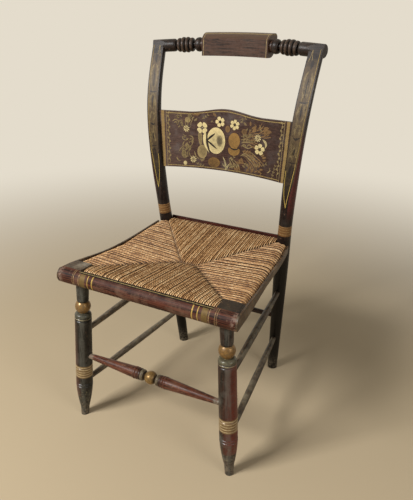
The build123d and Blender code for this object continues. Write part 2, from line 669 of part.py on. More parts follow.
# ---------------------------------------------------------------- assembly
def build():
    parts = {}
    inside = inside_strips()
    axis = post_axis()
    crest_axis = crest_line()
    face_tool = shaved_face_tool(axis)

    # stretcher axes on the right side, and across
    f_mid, r_mid = front_axis(FRONT_STRETCHER_Z), rear_axis(REAR_STRETCHER_Z)
    side_lines = {
        "upper": (front_axis(UPPER_SIDE_Z[0]), rear_axis(UPPER_SIDE_Z[1])),
        "lower": (front_axis(LOWER_SIDE_Z[0]), rear_axis(LOWER_SIDE_Z[1])),
    }

    # right front leg with its three stretcher holes
    leg = front_leg() - stretcher_hole(f_mid, flipped(f_mid))
    post = rear_post(axis, crest_axis) - stretcher_hole(r_mid, flipped(r_mid))
    for a, b in side_lines.values():
        leg -= stretcher_hole(a, b)
        post -= stretcher_hole(b, a)

    block = corner_block(inside)
    roll = front_roll(inside)
    strip = side_strip()
    rear_strip = Pos(0, REAR_STRIP_Y, REAR_STRIP_TOP - REAR_STRIP_HEIGHT) * Box(
        2 * REAR_STRIP_HALF,
        STRIP_THICKNESS,
        REAR_STRIP_HEIGHT,
        align=(Align.CENTER, Align.MIN, Align.MIN),
    )

    # lists and their mortises
    block_face = Vector(BLOCK_INNER_BACK + 0.7, FRONT_LIST[0], FRONT_LIST[1])
    block -= list_hole(block_face, Vector(1, 0, 0))
    rear_half = post_point(axis, REAR_LIST[1]).X - graded(POST_RADII, REAR_LIST[1]) + 0.6
    post -= list_hole(Vector(rear_half, *REAR_LIST), Vector(1, 0, 0))
    front_list = straight_list(FRONT_LIST, BLOCK_INNER_BACK)
    rear_list = straight_list(REAR_LIST, rear_half - 1.2)
    (front_end, front_dir), (rear_end, rear_dir) = side_list_ends()
    block -= list_hole(front_end, front_dir)
    post -= list_hole(rear_end, rear_dir)
    side = side_list() - (Pos(0, BLOCK_BACK_Y, 0) * Box(FAR, 100, 4 * FAR, align=(Align.CENTER, Align.MAX, Align.CENTER)))
    side = side - rod(post_point(axis, 380), post_point(axis, 430), graded(POST_RADII, 405) + FIT)
    for end, way in ((front_end, front_dir), (rear_end, rear_dir)):
        side += rod(end - way * 15, end + way * LIST_TENON, LIST_TENON_R)

    # slat: board, its mortises and the pins that hold it
    slat = slat_board()
    mortise = slat_board(FIT, BLIND)
    post -= mortise
    pins = []
    for height in SLAT_PIN_HEIGHTS:
        point = post_point(axis, height)
        hole = slat_pin(point, BLIND, FIT)
        post -= hole
        slat = slat - hole - mirrored(hole)
        pins += [slat_pin(point), mirrored(slat_pin(point))]

    # crest rail and its pins
    crest = crest_rail(crest_axis, axis, face_tool)
    crest_point = crest_axis @ share_at(crest_axis, "X", POST_BEND[-1].X)
    back = Vector(0, CREST_END_R - 0.3, 0)
    crest_pin = rod(crest_point + back, crest_point - Vector(0, 7.5, 0), CREST_PIN_R)
    pin_hole = rod(crest_point + back * 2, crest_point - Vector(0, 8.5, 0), CREST_PIN_R + FIT)
    post -= pin_hole
    crest = crest - pin_hole - mirrored(pin_hole)

    # rush, stuffing and the tunnels of the lists
    rush = rush_slab(inside)
    rush -= rod(Vector(-300, *FRONT_LIST), Vector(300, *FRONT_LIST), LIST_R + FIT)
    rush -= rod(Vector(-300, *REAR_LIST), Vector(300, *REAR_LIST), LIST_R + FIT)
    tunnel = side_list(FIT)
    for end, way in side_list_ends():
        tunnel += rod(end - way * 5, end + way * LIST_TENON, LIST_TENON_R + FIT)
    around_post = rod(post_point(axis, 360), post_point(axis, 450), graded(POST_RADII, 405) + 2 * FIT)
    rush = rush - tunnel - mirrored(tunnel) - around_post - mirrored(around_post)
    rush -= stuffing(0)
    pad = stuffing(PAD_GAP)

    # the strips are coped round the posts
    strip -= around_post
    rear_strip = rear_strip - around_post - mirrored(around_post)

    # dowels between roll and blocks
    dowels = []
    for x, z in DOWEL_PLACES:
        front, rear = Vector(x, DOWEL_FRONT_Y, z), Vector(x, DOWEL_BACK_Y, z)
        hole = rod(front - Vector(0, BLIND, 0), rear + Vector(0, BLIND, 0), DOWEL_R + FIT)
        block -= hole
        roll = roll - hole - mirrored(hole)
        dowels += [rod(front, rear, DOWEL_R), mirrored(rod(front, rear, DOWEL_R))]

    # brads through the strips
    brads = []
    for place, inward in side_brad_places():
        hole = brad_hole(place, inward)
        strip -= hole
        side -= hole
        block -= hole
        rush = rush - hole - mirrored(hole)
        brads += [brad(place, inward), mirrored(brad(place, inward))]
    for place, inward in rear_brad_places():
        hole = brad_hole(place, inward)
        rear_strip -= hole
        rear_list -= hole
        rush -= hole
        brads.append(brad(place, inward))

    for name, solid in {
        "front_leg": leg,
        "rear_post": post,
        "corner_block": block,
        "side_list": side,
        "side_strip": strip,
        "upper_side_stretcher": plain_stretcher(*side_lines["upper"], STRETCHER_MID_R),
        "lower_side_stretcher": plain_stretcher(*side_lines["lower"], STRETCHER_MID_R),
    }.items():
        parts[name + "_right"] = solid
        parts[name + "_left"] = mirrored(solid)
    parts["front_stretcher"] = front_stretcher(flipped(f_mid), f_mid)
    parts["rear_stretcher"] = plain_stretcher(flipped(r_mid), r_mid, REAR_STRETCHER_MID_R)
    parts["front_list"] = front_list
    parts["rear_list"] = rear_list
    parts["front_roll"] = roll
    parts["rear_strip"] = rear_strip
    parts["rush_seat"] = rush
    parts["seat_stuffing"] = pad
    parts["back_slat"] = slat
    parts["crest_rail"] = crest
    parts["slat_pins"] = pins
    parts["crest_pins"] = [crest_pin, mirrored(crest_pin)]
    parts["roll_dowels"] = dowels
    parts["casing_brads"] = brads
    return parts


os.makedirs("parts", exist_ok=True)
for node, pieces in build().items():
    solids = [(Pos(0, -DATUM_SHIFT, 0) * piece).solid() for piece in (pieces if isinstance(pieces, list) else [pieces])]
    shape = Compound(children=solids) if len(solids) > 1 else solids[0]
    export_step(shape, f"parts/{node}.step")
    print(node, len(shape.solids()), round(shape.volume), shape.bounding_box().min, shape.bounding_box().max)
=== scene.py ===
# %% [markdown]
# # A painted side chair with a rush seat
# The turned and bent wooden parts come in as finished solids. This lesson gives them their paint,
# graining, gold lines and wear, winds the rush seat strand by strand, lays the bronze stencils on
# the slat and the posts, and sets up a plain studio. Sizes in the text are in millimetres.

# %% Load the chair's frame
import math
import random

import bpy
from mathutils import Matrix, Vector


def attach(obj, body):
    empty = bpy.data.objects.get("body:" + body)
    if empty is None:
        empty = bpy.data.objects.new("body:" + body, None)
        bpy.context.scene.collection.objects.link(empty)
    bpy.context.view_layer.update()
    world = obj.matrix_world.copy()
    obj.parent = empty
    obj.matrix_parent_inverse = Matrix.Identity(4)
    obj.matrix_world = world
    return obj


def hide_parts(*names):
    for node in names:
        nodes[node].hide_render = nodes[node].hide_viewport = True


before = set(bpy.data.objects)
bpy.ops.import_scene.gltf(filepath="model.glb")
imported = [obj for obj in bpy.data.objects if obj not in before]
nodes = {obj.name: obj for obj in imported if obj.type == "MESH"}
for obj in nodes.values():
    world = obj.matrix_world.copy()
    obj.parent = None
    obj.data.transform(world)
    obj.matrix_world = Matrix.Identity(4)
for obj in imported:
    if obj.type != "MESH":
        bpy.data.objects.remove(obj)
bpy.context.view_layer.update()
print("solids:", len(nodes))

# %% [markdown]
# ## Units and colour
# Blender counts in metres and in linear light. The chair is measured in millimetres, and a painter
# thinks in sRGB, so one constant and one function turn what is written here into what Blender wants.

# %% Units and colour
MM = 0.001


def linear(code):
    """Linear RGBA of an sRGB colour such as "#a8814f"."""
    parts = [int(code[n : n + 2], 16) / 255 for n in (1, 3, 5)]
    return [c / 12.92 if c < 0.04045 else ((c + 0.055) / 1.055) ** 2.4 for c in parts] + [1.0]


print("rush brown in linear light:", [round(c, 3) for c in linear("#94714d")])

# %% [markdown]
# ## One helper for every shader node
# A material is a small graph. Nodes could be placed one by one in the shader editor. In a script
# it is shorter to have one helper that adds a node, sets its options and fills its inputs, each
# with a plain value or with another node's output.


# %% Node helper
def add_node(tree, kind, inputs=None, **settings):
    """A shader node with its settings, and its inputs set to values or linked to sockets."""
    new = tree.nodes.new("ShaderNode" + kind)
    for name, value in settings.items():
        setattr(new, name, value)
    for key, value in (inputs or {}).items():
        if isinstance(value, bpy.types.NodeSocket):
            tree.links.new(value, new.inputs[key])
        else:
            new.inputs[key].default_value = value
    return new


def empty_material(name):
    """A material with an empty graph, and that graph."""
    material = bpy.data.materials.new(name)
    material.use_nodes = True
    material.node_tree.nodes.clear()
    return material, material.node_tree


def dress(piece, material):
    """Give a piece or a node one material."""
    piece.data.materials.clear()
    piece.data.materials.append(material)


# %% [markdown]
# ## Finding a place on a part
# Gold lines, bands and worn rings sit at a measured distance along a part. The legs are raked, so
# the distance is read along each part's own axis: a line then stays square to the turning. It is
# pushed about by a few tenths of a millimetre, because every line was drawn by hand.


# %% Places along a part
def along(tree, start, end):
    """Metres from start towards end, and metres off that line, at each point of a surface."""
    way = (Vector(end) - Vector(start)).normalized()
    here = add_node(tree, "TexCoord").outputs["Object"]
    arm = add_node(tree, "VectorMath", {0: here, 1: Vector(start) * MM}, operation="SUBTRACT")
    run = add_node(tree, "VectorMath", {0: arm.outputs[0], 1: way}, operation="DOT_PRODUCT")
    foot = add_node(tree, "VectorMath", {0: way, "Scale": run.outputs["Value"]}, operation="SCALE")
    off = add_node(tree, "VectorMath", {0: arm.outputs[0], 1: foot.outputs[0]}, operation="DISTANCE")
    return run.outputs["Value"], off.outputs["Value"]


def measured(tree):
    """x, y and z of the surface in metres, and far, its distance |x| from the chair's middle."""
    split = add_node(tree, "SeparateXYZ", {0: add_node(tree, "TexCoord").outputs["Object"]})
    far = add_node(tree, "Math", {0: split.outputs[0]}, operation="ABSOLUTE")
    return {"x": split.outputs[0], "y": split.outputs[1], "z": split.outputs[2], "far": far.outputs[0]}


def mirrored(point, sign):
    """A point of the chair's right half, or its mirror image in the left half if sign is -1."""
    return (sign * point[0], point[1], point[2])


def drawn(tree, place, amount=0.35, size=22.0):
    """The same distance with a hand's unsteadiness: so many mm to and fro, every size mm."""
    here = add_node(tree, "TexCoord").outputs["Object"]
    noise = add_node(tree, "TexNoise", {"Vector": here, "Scale": 1 / (size * MM), "Detail": 1.0})
    limits = {0: noise.outputs[0], 1: 0.3, 2: 0.7, 3: -amount * MM, 4: amount * MM}
    shift = add_node(tree, "MapRange", limits)
    return add_node(tree, "Math", {0: place, 1: shift.outputs[0]}, operation="ADD").outputs[0]


# %% [markdown]
# ## Masks
# A mask is a value that is 1 where a colour goes and 0 elsewhere. It could be an image painted by
# hand, but that needs an unwrapped surface and blurs close up. A mask worked out from distances is
# sharp at any size, and moves when its number is changed.


# %% Masks
def shared(tree, *masks):
    """What all the masks share. A plain number among them makes it weaker."""
    found = masks[0]
    for mask in masks[1:]:
        found = add_node(tree, "Math", {0: found, 1: mask}, operation="MULTIPLY").outputs[0]
    return found


def either(tree, *masks):
    """What at least one of the masks covers."""
    found = masks[0]
    for mask in masks[1:]:
        found = add_node(tree, "Math", {0: found, 1: mask}, operation="MAXIMUM").outputs[0]
    return found


def lines(tree, place, spots):
    """1 where place is within half of a centre, for (centre, half) spots in mm, and 0 elsewhere."""
    masks = []
    for centre, half in spots:
        limits = {0: place, 1: centre * MM, 2: half * MM}
        masks.append(add_node(tree, "Math", limits, operation="COMPARE").outputs[0])
    return either(tree, *masks)


def ramp(tree, value, low, high, bottom=0.0, top=1.0, unit=MM):
    """A smooth change from bottom at low to top at high. Low and high are in mm, unless unit is 1."""
    limits = {0: value, 1: low * unit, 2: high * unit, 3: bottom, 4: top}
    return add_node(tree, "MapRange", limits, interpolation_type="SMOOTHSTEP").outputs[0]


# %% [markdown]
# ## Grained and varnished paint
# The maker painted the chair black-brown, dragged a red-brown glaze over it to look like rosewood,
# and varnished it. Up close that gives streaks about 2 mm wide that run with each part, cloudy
# patches where the old varnish has greyed, and brown flecks where the paint is rubbed through.
# A picture of old paint could be wrapped round the parts, but it would show seams. Three noises
# in object space have none, so one function builds this finish for a given direction of grain.
# Bands and lines are laid over it, and the varnish closes it.

# %% Paint, glaze, clouds and flecks
ALONG_X, ALONG_Y, ALONG_Z = 0, 1, 2  # the axis that a grain follows
STREAK = 70  # length of a dragged streak
CLOUD = 34  # size of a cloudy patch
FLECK = 5  # size of the largest flecks


def grained_paint(name, grain, ground="#100d0b", glaze="#38221a", cloud="#43403a", worn="#6e5240", **looks):
    """Start a paint: its material, the colour so far, and the noises that later layers reuse."""
    material, tree = empty_material(name)
    here = add_node(tree, "TexCoord").outputs["Object"]
    scale = [1 / (looks.get("streak", 2.2) * MM)] * 3
    scale[grain] = 1 / (STREAK * MM)
    dragged = add_node(tree, "Mapping", {"Vector": here, "Scale": scale}).outputs[0]
    settings = {"Vector": dragged, "Scale": 1.0, "Detail": 4.0, "Roughness": 0.62, "Distortion": 0.5}
    streaks = add_node(tree, "TexNoise", settings).outputs[0]
    settings = {"Vector": here, "Scale": 1 / (CLOUD * MM), "Detail": 4.0, "Roughness": 0.6}
    drift = add_node(tree, "TexNoise", settings).outputs[0]
    settings = {"Vector": here, "Scale": 1 / (FLECK * MM), "Detail": 7.0, "Roughness": 0.72}
    flecks = add_node(tree, "TexNoise", settings).outputs[0]
    share = add_node(tree, "MapRange", {0: streaks, 1: 0.4, 2: 0.64}).outputs[0]
    mixed = add_node(tree, "Mix", {0: share, 6: linear(ground), 7: linear(glaze)}, data_type="RGBA")
    paint = {"material": material, "tree": tree, "colour": mixed.outputs[2], "metal": None}
    paint["streaks"], paint["flecks"] = streaks, flecks
    clouds = add_node(tree, "MapRange", {0: drift, 1: 0.48, 2: 0.7, 4: looks.get("clouds", 0.45)})
    lay(paint, clouds.outputs[0], cloud)
    rubbed = add_node(tree, "MapRange", {0: flecks, 1: 0.63 - looks.get("wear", 0.02), 2: 0.68})
    lay(paint, rubbed.outputs[0], worn)
    limits = {0: flecks, 1: 0.35, 2: 0.7, 3: looks.get("gloss", 0.26), 4: 0.55}
    paint["rough"] = add_node(tree, "MapRange", limits).outputs[0]
    return paint


# %% Laying, wearing off and varnishing
def lay(paint, where, colour, metal=0.0):
    """Lay one more colour over the paint where the mask says, as bronze powder if metal is given."""
    tree = paint["tree"]
    inputs = {0: where, 6: paint["colour"], 7: linear(colour)}
    paint["colour"] = add_node(tree, "Mix", inputs, data_type="RGBA").outputs[2]
    if metal:
        share = shared(tree, where, metal)
        paint["metal"] = share if paint["metal"] is None else either(tree, paint["metal"], share)


def patchy(paint, where, least=0.35):
    """A mask broken up by the flecks, as where gold or paint is partly rubbed away."""
    tree = paint["tree"]
    broken = add_node(tree, "MapRange", {0: paint["flecks"], 1: 0.4, 2: 0.56, 3: 1.0, 4: least})
    return shared(tree, where, broken.outputs[0])


def varnish(paint, shine=0.22):
    """Close the finish under satin varnish with a fine relief, and return its material."""
    tree = paint["tree"]
    relief = add_node(tree, "Bump", {"Height": paint["streaks"], "Distance": 0.15 * MM, "Strength": 0.5})
    inputs = {"Base Color": paint["colour"], "Roughness": paint["rough"], "Normal": relief.outputs[0]}
    if paint["metal"] is not None:
        inputs["Metallic"] = paint["metal"]
    shader = add_node(tree, "BsdfPrincipled", inputs)
    shader.inputs["IOR"].default_value = 1.5
    shader.inputs["Specular IOR Level"].default_value = shine
    add_node(tree, "OutputMaterial", {0: shader.outputs[0]})
    return paint["material"]


# %% [markdown]
# ## Front legs
# Each leg is turned with a gilt ball and rings under it. A gold-brown band with five thin yellow
# lines goes round the shin, and a dull olive one round the shoulder below the ball. The outer side
# is worn to a dull red, a grey sheen is painted in streaks where the leg faces the front and a little
# to the right, as a painted reflection, and the toe has lost its paint. Bands could be rings of
# geometry, but paint is too thin to see from the side, so they are masks, measured along the leg's
# axis from the floor.

# %% Colours and places on the front legs
BAND = "#7e6543"
YELLOW = "#d8c69a"
GILT = "#8e6c3c"
DULL_RED = "#6e2c1f"
OLIVE = "#77745a"
LEG_FOOT = (204.0, -213.3, 0.0)  # on the axis of the right leg, at the floor
LEG_BALL = (185.3, -202.9, 314.5)  # and in the middle of its ball
BAND_PLACE = (138.5, 17)  # each place is its middle, up from the foot, and half its height
YELLOW_PLACES = [(125.3 + 6.6 * n, 0.75) for n in range(5)]
SHOULDER_PLACE = (294, 6)
RING_PLACE = (286, 0.9)
BALL_PLACE = (314, 14.2)
RED_PLACE = (175, 112)  # from the foot's taper to the shoulder
PAINTED_SHEEN_WAY = (0.45, -0.89, 0.0)  # where the painted sheen, a painted reflection, faces

# %% Paint the front legs
LEG_LOOKS = {"ground": "#0a0907", "cloud": "#66655d", "streak": 4.5, "gloss": 0.2}
LEG_WEAR = [("left", -1, "#27231d", 0.5, 0.3), ("right", 1, "#3a2219", 0.85, 0.65)]
for side, sign, glaze, red, olive in LEG_WEAR:
    paint = grained_paint("black_grained_paint_front_leg_" + side, ALONG_Z, glaze=glaze, **LEG_LOOKS)
    tree = paint["tree"]
    up = along(tree, mirrored(LEG_FOOT, sign), mirrored(LEG_BALL, sign))[0]
    outer = ramp(tree, measured(tree)["far"], 188, 212)
    lay(paint, patchy(paint, shared(tree, outer, lines(tree, up, [RED_PLACE]), red), 0.5), DULL_RED)
    # Painted reflection: a grey sheen in streaks where the leg faces the front and a little to the right.
    facing = add_node(tree, "NewGeometry").outputs["Normal"]
    facing = add_node(tree, "VectorMath", {0: facing, 1: PAINTED_SHEEN_WAY}, operation="DOT_PRODUCT")
    painted_sheen = ramp(tree, facing.outputs["Value"], 0.9, 0.99, 0.0, 0.45, unit=1)
    lay(paint, shared(tree, painted_sheen, ramp(tree, paint["streaks"], 0.38, 0.56, 0.3, unit=1)), "#5d5c54")
    up = drawn(tree, up)
    lay(paint, patchy(paint, lines(tree, up, [BAND_PLACE]), 0.75), BAND, 0.1)
    lay(paint, patchy(paint, lines(tree, up, YELLOW_PLACES), 0.4), YELLOW)
    lay(paint, patchy(paint, shared(tree, lines(tree, up, [SHOULDER_PLACE]), olive)), OLIVE, 0.15)
    lay(paint, patchy(paint, lines(tree, up, [RING_PLACE])), "#978c6c")
    lay(paint, patchy(paint, lines(tree, up, [BALL_PLACE]), 0.45), GILT, 0.45)
    bare = add_node(tree, "Math", {0: up, 1: paint["flecks"]}, operation="SUBTRACT").outputs[0]
    lay(paint, ramp(tree, bare, -0.5, -0.555, unit=1), "#757059")
    scuffs = shared(tree, ramp(tree, up, 70, 10), ramp(tree, paint["flecks"], 0.48, 0.56, unit=1))
    lay(paint, scuffs, "#6b6052")
    dress(nodes["front_leg_" + side], varnish(paint, 0.3))
    print("painted the", side, "front leg, band", BAND_PLACE[0], "mm up")

# %% [markdown]
# ## Rear posts
# Each rear leg and back post is one bent stick. It is black, with the same banding just above the
# seat. Higher up, the front is shaved flat for the bronze panel, which is laid on later. The outer
# side of the right post is rubbed to maroon where hands have moved the chair. The post leans
# outwards, so its outer side is found by how far out a point is, less the lean at its height.

# %% Paint the rear posts
MAROON = "#5e2a26"
POST_LEAN = 0.0715  # outwards, for each unit of height
POST_AT_SEAT = (173.5, 144.3, 441.4)  # on the axis of the right post
POST_BELOW_SLAT = (180.6, 133.8, 543.2)
POST_BAND = (13, 13.5)  # its middle, up from POST_AT_SEAT, and half its height
POST_LINES = [(5, 0.9), (12, 0.9), (19, 0.9), (25, 0.7)]
for side, sign, rubbed in (("left", -1, 0.35), ("right", 1, 0.9)):
    paint = grained_paint("black_grained_paint_rear_post_" + side, ALONG_Z, clouds=0.35, glaze="#2a1b16")
    tree = paint["tree"]
    at = measured(tree)
    # Painted shade: from the seat down the post is darkened to near black, where the seat shades it.
    lay(paint, ramp(tree, at["z"], 440, 330, 0.0, 0.9), "#080705")
    limits = {0: at["z"], 1: -POST_LEAN, 2: at["far"]}
    outer = add_node(tree, "Math", limits, operation="MULTIPLY_ADD").outputs[0]
    hands = shared(tree, ramp(tree, at["z"], 470, 530), ramp(tree, at["z"], 720, 620))
    lay(paint, patchy(paint, shared(tree, ramp(tree, outer, 145, 150), hands, rubbed), 0.4), MAROON)
    up = drawn(tree, along(tree, mirrored(POST_AT_SEAT, sign), mirrored(POST_BELOW_SLAT, sign))[0])
    lay(paint, patchy(paint, lines(tree, up, [POST_BAND]), 0.8), "#7c5935", 0.15)
    lay(paint, patchy(paint, lines(tree, up, POST_LINES)), "#a88a5c", 0.2)
    scuffs = shared(tree, ramp(tree, at["z"], 60, 8), ramp(tree, paint["flecks"], 0.48, 0.56, unit=1))
    lay(paint, scuffs, "#5f5648")
    dress(nodes["rear_post_" + side], varnish(paint))
    print("painted the", side, "rear post,", len(POST_LINES), "lines on its band")

# %% [markdown]
# ## Front roll
# The roll along the seat's front edge has a redder, browner glaze than the legs. Near each end it
# carries a gold band between thin lines, all square to the roll, so they are read off as distances
# |x| from the chair's middle. A dark strip runs along its top, beside the rush, partly dark paint and
# partly a painted shadow of the rush, with a thin yellow line in it. Its two ends are scuffed pale.

# %% Paint the front roll
ROLL_BAND = (150, 6.8)
OUTER_LINES = [(160, 1.2), (173, 0.8), (177, 0.7)]
INNER_LINES = [(135, 1.0), (123, 1.4)]
SHADOW_AND_DARK_STRIP = (223.8, 4.4)  # its middle, in front of the chair's middle, and half its width
RUSH_LINE = (224.8, 0.9)
ROLL_COLOURS = {"ground": "#170b07", "glaze": "#5c3122", "cloud": "#6b5040"}
roll = grained_paint("red_brown_grained_roll", ALONG_X, **ROLL_COLOURS, clouds=0.8, wear=0.04, gloss=0.55)
tree = roll["tree"]
at = measured(tree)
far = drawn(tree, at["far"])
lay(roll, patchy(roll, lines(tree, far, [ROLL_BAND]), 0.7), "#6a5630", 0.2)
lay(roll, patchy(roll, lines(tree, far, OUTER_LINES), 0.2), "#9a8058", 0.2)
lay(roll, patchy(roll, lines(tree, far, INNER_LINES), 0.7), "#b0934c", 0.3)
scuffs = shared(tree, ramp(tree, far, 203, 213), ramp(tree, roll["flecks"], 0.47, 0.54, unit=1))
lay(roll, shared(tree, scuffs, 0.6), "#8d7768")
forwards = drawn(tree, add_node(tree, "Math", {0: at["y"], 1: -1.0}, operation="MULTIPLY").outputs[0], 0.2)
on_top = shared(tree, ramp(tree, at["z"], 408, 409), ramp(tree, far, 168, 162))
# The dark strip along the top is partly dark paint and partly painted shadow of the overhanging rush.
lay(roll, shared(tree, on_top, lines(tree, forwards, [SHADOW_AND_DARK_STRIP])), "#140d0a")
lay(roll, patchy(roll, shared(tree, on_top, lines(tree, forwards, [RUSH_LINE])), 0.4), "#a8915f")
dress(nodes["front_roll"], varnish(roll, 0.15))
print("painted the front roll, bands", ROLL_BAND[0], "mm from the middle")

# %% [markdown]
# ## Blocks, casing strips and plain stretchers
# These plain pieces have no lines, only the grained paint at several stages of wear: the left block
# and the strips beside the rush are rubbed to brown wood, and the side stretchers, where feet rest,
# are worn grey. The corner blocks are also a lit and a shaded copy of one paint: the left one is paler
# as a painted sheen, the right one darker as painted shade. The left stretchers are painted paler
# than the right ones, as painted light where the seat shades them. A finish for each could be built
# by hand. They differ only in a few colours, so a table of those and one loop do it.

# %% Paint the plain pieces
STICK_CLOUD, STICK_WORN = "#7d745e", "#86694a"
# name of the finish: grain, pieces, (ground, glaze, cloud, worn), clouds, wear
PLAIN_FINISHES = {
    # painted sheen: the left block's paint is paler, over real rubbing to brown wood
    "sheen_and_rubbed_brown_block": (
        ALONG_X, ["corner_block_left"], ("#2b231c", "#54422f", "#857a68", "#8f6f4d"), 0.9, 0.05
    ),
    # painted shade: the right block's paint is darker
    "shaded_dark_brown_block": (
        ALONG_X, ["corner_block_right"], ("#15100c", "#35261a", "#4f4534", "#7f6244"), 0.45, 0.02
    ),
    "rubbed_brown_casing": (
        ALONG_Y, ["side_strip_left", "side_strip_right"],
        ("#211b16", "#574231", "#6b5d4c", "#95704a"), 0.8, 0.09,
    ),
    "red_brown_rear_casing": (
        ALONG_X, ["rear_strip"], ("#26120e", "#52261c", "#43403a", "#6e5240"), 0.2, 0.02
    ),
    # painted light: the left stretchers' paint is paler than the right ones'
    "worn_black_stretcher_left_painted_paler": (
        ALONG_Y, ["upper_side_stretcher_left", "lower_side_stretcher_left"],
        ("#39332a", "#75695a", STICK_CLOUD, STICK_WORN), 0.85, 0.08,
    ),
    "worn_black_stretcher_right": (
        ALONG_Y, ["upper_side_stretcher_right", "lower_side_stretcher_right"],
        ("#241f18", "#55483a", STICK_CLOUD, STICK_WORN), 0.85, 0.08,
    ),
    "worn_black_cross_stretcher": (
        ALONG_X, ["rear_stretcher"], ("#100d0b", "#38221a", "#43403a", "#6e5240"), 0.45, 0.05
    ),
}
for name, (grain, pieces, colours, clouds, wear) in PLAIN_FINISHES.items():
    material = varnish(grained_paint(name, grain, *colours, clouds=clouds, wear=wear))
    for piece in pieces:
        dress(nodes[piece], material)
    print(name, "on", ", ".join(pieces))

# %% [markdown]
# ## Front stretcher
# The front stretcher is the turned one that shows: a ball in the middle, three rings on each side
# of it, and long tapers into the legs. Its ball is gilt, with painted shade that darkens it towards
# its sides. The rings next to it are a worn olive gilt on their crests, laid pale there as a painted
# highlight, the tapers are red-brown, and the ends are scuffed pale where they enter the legs. A
# crest is where the surface is far from the stretcher's own axis.

# %% Paint the front stretcher
STRETCHER_MIDDLE = (0.0, -207.4, 180.4)
STRETCHER_RIGHT = (100.0, -207.4, 180.4)
STRETCHER_COLOURS = {"ground": "#2a150f", "glaze": "#6e3d2a", "cloud": "#654a3a", "worn": "#8d6d54"}
paint = grained_paint("red_brown_front_stretcher", ALONG_X, **STRETCHER_COLOURS, wear=0.05)
tree = paint["tree"]
far = measured(tree)["far"]
out = along(tree, STRETCHER_MIDDLE, STRETCHER_RIGHT)[1]
lay(paint, ramp(tree, far, 40, 22, 0.0, 0.85), "#15110d")
# Painted highlight on worn gilt: the crests of the rings by the ball are laid pale.
crest_highlights = shared(tree, lines(tree, far, [(20, 4.5)]), ramp(tree, out, 9, 12.5))
lay(paint, patchy(paint, crest_highlights, 0.3), "#7d725c", 0.5)
lay(paint, patchy(paint, lines(tree, far, [(0, 14.5)]), 0.45), "#8f7142", 0.4)
# Painted shade: the ball is darkened towards its sides.
lay(paint, shared(tree, lines(tree, far, [(0, 16)]), ramp(tree, far, 7.5, 12.5, 0.0, 0.75)), "#241a12")
lay(paint, patchy(paint, ramp(tree, far, 158, 166), 0.3), "#857c6b")
dress(nodes["front_stretcher"], varnish(paint))
print("painted the front stretcher")

# %% [markdown]
# ## Crest rail
# The crest rail has a broad pillow in the middle, a collar and a barrel of four rings on each side,
# and plain cylinders into the posts. The pillow is browner than the rest, streaked lengthwise, with
# a dull gold line along its top edge and one at each end. The rail is bent, so heights on it are
# measured from its curved axis, which rises 7.8 mm to the middle, and the grooves between the
# rings are measured along the barrel's own axis.

# %% Paint the pillow
CREST_LOOKS = {"ground": "#120f0d", "glaze": "#2f2019", "cloud": "#4d463f", "clouds": 0.5, "streak": 1.6}
RISE = 0.0078 / 0.22**2  # how the rail's axis drops with the square of |x|
AXIS_HEIGHT = 0.871  # of the rail's axis in the middle, in metres
PILLOW_PLACE = (45, 47)  # out from the middle to 92
END_LINE = (81.5, 0.9)
paint = grained_paint("black_brown_crest_rail", ALONG_X, **CREST_LOOKS)
tree = paint["tree"]
at = measured(tree)
far = at["far"]
squared = add_node(tree, "Math", {0: far, 1: far}, operation="MULTIPLY").outputs[0]
arch = add_node(tree, "Math", {0: squared, 1: RISE, 2: at["z"]}, operation="MULTIPLY_ADD").outputs[0]
rise = add_node(tree, "Math", {0: arch, 1: AXIS_HEIGHT}, operation="SUBTRACT").outputs[0]
pillow = lines(tree, far, [PILLOW_PLACE])
brown = add_node(tree, "MapRange", {0: paint["streaks"], 1: 0.36, 2: 0.6, 3: 0.25, 4: 0.9}).outputs[0]
lay(paint, shared(tree, pillow, brown), "#4f372b")
lay(paint, shared(tree, pillow, ramp(tree, paint["streaks"], 0.47, 0.39, 0.0, 0.8, unit=1)), "#1d130f")
lay(paint, shared(tree, pillow, ramp(tree, rise, 13.2, 14.6), 0.5), "#5b4636")
top_line = shared(tree, pillow, lines(tree, drawn(tree, rise, 0.3), [(24.6, 1.0)]))
lay(paint, patchy(paint, top_line, 0.5), "#8c7646", 0.3)
lay(paint, patchy(paint, lines(tree, drawn(tree, far, 0.3), [END_LINE]), 0.3), "#a08c62", 0.3)
print("painted the pillow, end lines", END_LINE[0], "mm from the middle")

# %% Paint the barrels
BARREL_INNER = (110.0, 206.0, 869.0)  # on the rail's axis, right side
BARREL_OUTER = (158.0, 199.5, 867.0)
RING_CRESTS = [(9.5, 2.4), (20.5, 2.6), (31.4, 2.6), (42.4, 2.4)]
RING_GROOVES = [(3.6, 1.6), (15, 1.5), (26, 1.5), (36.9, 1.5), (48.4, 1.6)]
runs = [along(tree, mirrored(BARREL_INNER, sign), mirrored(BARREL_OUTER, sign))[0] for sign in (-1, 1)]
run = either(tree, *runs)  # the other side's distance is below 0 here
barrel = lines(tree, far, [(136, 25)])
# Painted highlights: the crests of the rings are laid paler.
crest_highlights = shared(tree, barrel, lines(tree, run, RING_CRESTS), 0.5)
lay(paint, patchy(paint, crest_highlights, 0.2), "#6b5644")
# Painted shade: the grooves between the rings are laid near black.
lay(paint, shared(tree, barrel, lines(tree, run, RING_GROOVES), 0.85), "#060504")
dress(nodes["crest_rail"], varnish(paint, 0.25))
print("painted the crest rail,", len(RING_CRESTS), "rings on each barrel")

# %% [markdown]
# ## Back slat
# The slat is plum-brown under cloudy varnish, a little greyer on its left and darker on its right.
# Its edge lines follow the board: the top one runs a few millimetres below the hump, and a gold bar
# fills each end beside the raked post. The lines could be curves laid on the board. The hump is a
# smooth step of 12.3 mm over 105 mm, so the same smooth step in the shader follows it exactly.

